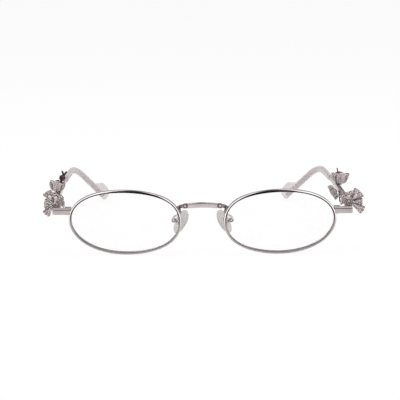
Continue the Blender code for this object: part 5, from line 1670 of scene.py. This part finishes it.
class EYEWEAR_OT_buds(bpy.types.Operator):
    """Build the rods, the flared buds with their stones, the bead and the fine wires"""

    bl_idname = "eyewear.buds"
    bl_label = "Buds and Rods"

    def execute(self, context):
        setting = setting_metal("bud_metal")
        crystal = cut_crystal("bud_crystal")
        shaded = cut_crystal("shaded_crystal")
        rod = polished_metal("rod_metal")
        black = black_polish("black_polish")
        for word in SIDES:
            stem = round_wire(f"rod_{word}", STEMS[word], STEM_RADIUS, 5)
            hand_over(stem, f"temple_{word}", "silver", rod, f"stem_{word}")
        for bud, (neck, *axes, scale, tall, slim, closing) in BUDS.items():
            body = "temple_" + bud.split("_")[0]
            place = at(neck) @ turned(*axes)
            profile = bud_profile(slim, closing)
            cup = settle(self.cup(f"cup_{bud}", scale, tall, profile), place)
            hand_over(weld(cup, 4), body, "silver", setting, f"bud_{bud}")
            # the lower bud's stones get the deeper painted shade
            finish = shaded if bud == "left_lower" else crystal
            for name, seats in (("cup_stones", self.seats(scale, tall, profile)),
                                ("heart_stones", self.heart_seats(scale, tall))):
                stones = scatter(f"{name}_{bud}", brilliant(), [place @ seat for seat in seats])
                hand_over(stones, body, "crystal", finish)
            if bud == "right_upper":
                bead = settle(self.bead(), place)
                hand_over(bead, body, "dark_metal", black, "bud_bead")
        for name, (body, points) in WIRES.items():
            wire = round_wire(f"fine_{name}", points, WIRE_RADIUS[name.split("_")[0]])
            hand_over(wire, body, "dark_metal", black, name)
        return {"FINISHED"}

    def cup(self, name, scale, tall, profile):
        """A flared cup with a wavy mouth, raised step by step from its neck."""
        rows = [(radius * BUD_RADIUS * scale, height * BUD_HEIGHT * tall)
                for radius, height in profile]
        rows += [(radius - BUD_WALL, height + BUD_LIP) for radius, height in reversed(rows[3:])]
        rows += [(radius, height * BUD_HEIGHT * tall) for radius, height in BUD_FLOOR]
        cup = add_object(bpy.ops.mesh.primitive_circle_add, name, vertices=64,
                         radius=rows[0][0] * MM, fill_type="NGON")
        with editing(cup):
            bpy.ops.mesh.select_all(action="SELECT")
            for (radius, height), (wider, higher) in zip(rows, rows[1:]):
                raise_faces((higher - height) * MM, wider / radius)
        top = BUD_HEIGHT * tall * MM

        def rule(co):
            wave, dip = bud_wave(math.atan2(co.y, co.x), clamp(co.z / top))
            return Vector((co.x * wave, co.y * wave, co.z - dip * top))
        reshape(cup, rule)
        weld(cup, 4)
        # painted shade in the grooves between the lobes
        mark(cup, "deep", [bud_valley(math.atan2(vert.co.y, vert.co.x))
                           for vert in cup.data.vertices])
        return soften(cup, 40)

    def seats(self, scale, tall, profile):
        """Places of the stones in rows round the cup's outside."""
        size = sizes().stone_size / MM
        height = BUD_HEIGHT * tall
        seats = []
        for number, share in enumerate(BUD_ROWS):
            radius = scale * BUD_RADIUS * profile_radius(profile, share)
            run = scale * BUD_RADIUS * (profile_radius(profile, share + SHARE_STEP)
                                        - profile_radius(profile, share - SHARE_STEP))
            fit = Matrix.Scale(size * (BUD_FIRST_FIT if number == 0 else 1.0) * MM, 4)
            count = max(6, int(2 * math.pi * radius / (size * BUD_ROW_SPACING)))
            for index in range(count):
                angle = 2 * math.pi * (index + 0.5 * (number % 2)) / count
                if bud_valley(angle) > BUD_GROOVE_LIMIT:
                    continue
                wave, dip = bud_wave(angle, share)
                outward = Vector((math.cos(angle), math.sin(angle), 0))
                aside = Vector((-math.sin(angle), math.cos(angle), 0))
                normal = (outward * height * 2 * SHARE_STEP
                          - Vector((0, 0, run))).normalized()
                spot = outward * radius * wave + Vector((0, 0, height * (share - dip)))
                seats.append(at(spot + normal * BUD_STONE_LIFT)
                             @ turned(aside, normal.cross(aside), normal) @ fit)
        return seats

    def heart_seats(self, scale, tall):
        """Places of stones heaped up in a cup's mouth."""
        size = Matrix.Scale(HEART_STONE * scale * MM, 4)
        seats = []
        for ring, count in enumerate(HEART_RINGS):
            radius = scale * BUD_RADIUS * HEART_SPACING * ring
            dome = 1 - (ring / len(HEART_RINGS)) ** 2
            for index in range(count):
                angle = 2 * math.pi * (index + HEART_TURN * ring) / count
                spot = at((radius * math.cos(angle), radius * math.sin(angle),
                           BUD_HEIGHT * tall * HEART_BASE + dome * HEART_DOME))
                lean = Matrix.Rotation(angle, 4, "Z") @ Matrix.Rotation(
                    HEART_LEAN * ring, 4, "Y")
                seats.append(spot @ lean @ size)
        return seats

    def bead(self):
        """A polished ball on a leaning stalk."""
        ball = settle(add_object(
            bpy.ops.mesh.primitive_uv_sphere_add, "bead_ball", segments=40, ring_count=28,
            radius=BEAD_RADIUS * MM, location=(BEAD_OFFSET * MM, 0, BEAD_CENTRE * MM)))
        stalk = round_wire("bead_stalk", BEAD_STALK, BEAD_STALK_RADIUS, 4)
        return soften(join("polished_bead", [ball, stalk]), 50)


def bud_wave(angle, share):
    """A bud's widening at an angle and a share of its height, and its dip as a share."""
    widening = 1 + BUD_LOBE_SHARE * share * math.cos(BUD_LOBES * angle)
    return widening, BUD_DIP * share ** 2 * (1 - abs(math.cos(BUD_LOBES * angle / 2)))


def bud_valley(angle):
    """How deep an angle lies in one of the grooves between a bud's lobes, from 0 to 1."""
    return max(0.0, -math.cos(BUD_LOBES * angle)) ** BUD_GROOVE_POWER


def bud_profile(slim, closing):
    """The bud's radii and heights. Above the neck a slimness below 1 fills the shape."""
    neck, body = BUD_PROFILE[:2], BUD_PROFILE[2:]
    return [*neck, *((radius ** slim * (1 - closing * height ** BUD_CLOSING_POWER), height)
                     for radius, height in body)]


def profile_radius(profile, share):
    """A bud's radius at a share of its height, as a share of its mouth."""
    for (low_r, low_h), (high_r, high_h) in zip(profile, profile[1:]):
        if share <= high_h or high_h == 1.0:
            return low_r + (high_r - low_r) * (share - low_h) / (high_h - low_h)
    return 1.0


class EYEWEAR_OT_stage(bpy.types.Operator):
    """Set up the floor, the lamps, the surroundings and the camera"""

    bl_idname = "eyewear.stage"
    bl_label = "Stage"

    def execute(self, context):
        for model in (STONE_MODEL, GRAIN_MODEL):
            known = bpy.data.objects.get(model)
            if known:
                bpy.data.objects.remove(known)
        self.add_floor()
        self.add_world(context.scene)
        self.add_lamps()
        self.add_flags()
        self.add_camera(context.scene)
        context.scene.view_settings.view_transform = "Standard"
        return {"FINISHED"}

    def add_floor(self):
        """A pale floor that stays white to the camera apart from the object's shadow."""
        floor = add_object(bpy.ops.mesh.primitive_plane_add, "floor", size=FLOOR_SIZE,
                           location=(0, 0, FLOOR_HEIGHT))
        recipe = Recipe("floor_paint", {"Roughness": 0.9, "Specular IOR Level": 0.1})
        cloud = recipe.noise(0.3, 2)
        pale = tuple(colors().floor)
        recipe.put(Base_Color=recipe.mix(recipe.level(cloud, 0.3, 0.7), pale, shade(pale, 0.99)))
        path = recipe.add("ShaderNodeLightPath", {}, {})
        seen = recipe.read(path, "Is Camera Ray") + recipe.read(path, "Is Transmission Ray")
        glow = recipe.add("ShaderNodeEmission", {}, {"Color": (1, 1, 1), "Strength": 1.0})
        blend = recipe.add("ShaderNodeMixShader", {}, {
            "Fac": recipe.level(seen * FLOOR_GLOW, 0, 1)})
        links = recipe.tree.links
        links.new(recipe.surface.outputs[0], blend.inputs[1])
        links.new(glow.outputs[0], blend.inputs[2])
        links.new(blend.outputs[0], recipe.tree.nodes["Material Output"].inputs["Surface"])
        floor.data.materials.append(recipe.material)

    def add_world(self, scene):
        """Soft light from all round, and a white background."""
        world = bpy.data.worlds.new("white_studio")
        scene.world = world
        world.use_nodes = True
        nodes, links = world.node_tree.nodes, world.node_tree.links
        nodes.clear()
        path = nodes.new("ShaderNodeLightPath")
        seen = nodes.new("ShaderNodeMath")
        seen.use_clamp = True
        links.new(path.outputs["Is Camera Ray"], seen.inputs[0])
        links.new(path.outputs["Is Transmission Ray"], seen.inputs[1])
        blend = nodes.new("ShaderNodeMixShader")
        links.new(seen.outputs[0], blend.inputs[0])
        for socket, strength in ((1, WORLD_LIGHT), (2, 1.0)):
            light = nodes.new("ShaderNodeBackground")
            light.inputs["Color"].default_value = (1, 1, 1, 1)
            light.inputs["Strength"].default_value = strength
            links.new(light.outputs[0], blend.inputs[socket])
        out = nodes.new("ShaderNodeOutputWorld")
        links.new(blend.outputs[0], out.inputs["Surface"])

    def add_lamps(self):
        """Three soft boxes overhead."""
        for name, place, size, power in LAMPS:
            aim = Vector(place) - Vector(LAMP_AIM)
            lamp = add_object(bpy.ops.object.light_add, name, type="AREA", location=place,
                              rotation=aim.to_track_quat("Z", "Y").to_euler())
            lamp.data.size = size
            lamp.data.energy = power

    def add_flags(self):
        """Dark cards that only the metal mirrors."""
        recipe = Recipe("flag_cloth", {"Roughness": 1.0, "Specular IOR Level": 0.0})
        weave = recipe.noise(4 * MM, 2)
        recipe.put(Base_Color=recipe.mix(weave, (0.02, 0.018, 0.018), (0.035, 0.03, 0.03)))
        for name, place, size in FLAGS:
            aim = Vector(place) - Vector(FLAG_AIM)
            flag = add_object(bpy.ops.mesh.primitive_plane_add, name, size=1, location=place,
                              rotation=aim.to_track_quat("Z", "Y").to_euler())
            flag.scale = (*size, 1)
            flag.data.materials.append(recipe.material)
            flag.visible_camera = False
            flag.visible_diffuse = False
            flag.visible_shadow = False
            flag.visible_transmission = False

    def add_camera(self, scene):
        """The photograph's point of view."""
        away = Vector((0, -math.cos(CAMERA_ELEVATION), math.sin(CAMERA_ELEVATION)))
        turn = (Matrix.Rotation(math.pi / 2 - CAMERA_ELEVATION, 4, "X")
                @ Matrix.Rotation(CAMERA_ROLL, 4, "Z"))
        camera = add_object(bpy.ops.object.camera_add, "camera", rotation=turn.to_euler(),
                            location=(Vector(CAMERA_AIM) + away * CAMERA_DISTANCE) * MM)
        camera.data.lens = CAMERA_LENS
        camera.data.sensor_width = SENSOR_WIDTH
        camera.data.clip_start = 0.01
        camera.data.dof.use_dof = False
        scene.camera = camera


class EYEWEAR_PT_panel(bpy.types.Panel):
    """Lists the operators, sizes and colours"""

    bl_idname = "EYEWEAR_PT_panel"
    bl_label = "Eyeglasses"
    bl_space_type = "VIEW_3D"
    bl_region_type = "UI"
    bl_category = "Eyeglasses"

    def draw(self, context):
        layout = self.layout
        for operator in OPERATORS:
            layout.operator(operator.bl_idname)
        for group in (sizes(), colors()):
            box = layout.box()
            for name in group.__annotations__:
                box.prop(group, name)


OPERATORS = (
    EYEWEAR_OT_rims, EYEWEAR_OT_bridge, EYEWEAR_OT_nose_pads, EYEWEAR_OT_end_pieces,
    EYEWEAR_OT_temples, EYEWEAR_OT_blossoms, EYEWEAR_OT_buds, EYEWEAR_OT_stage)
CLASSES = (FrameSizes, FrameColors, *OPERATORS, EYEWEAR_PT_panel)


def register():
    """Add the classes and their settings to Blender."""
    for item in CLASSES:
        bpy.utils.register_class(item)
    bpy.types.Scene.eyewear_sizes = bpy.props.PointerProperty(type=FrameSizes)
    bpy.types.Scene.eyewear_colors = bpy.props.PointerProperty(type=FrameColors)


def unregister():
    """Take the classes and their settings out of Blender."""
    del bpy.types.Scene.eyewear_colors
    del bpy.types.Scene.eyewear_sizes
    for item in reversed(CLASSES):
        bpy.utils.unregister_class(item)


def main():
    """Build every piece and the stage."""
    register()
    bpy.ops.eyewear.rims()
    bpy.ops.eyewear.bridge()
    bpy.ops.eyewear.nose_pads()
    bpy.ops.eyewear.end_pieces()
    bpy.ops.eyewear.temples()
    bpy.ops.eyewear.blossoms()
    bpy.ops.eyewear.buds()
    bpy.ops.eyewear.stage()


if __name__ == "__main__":
    main()
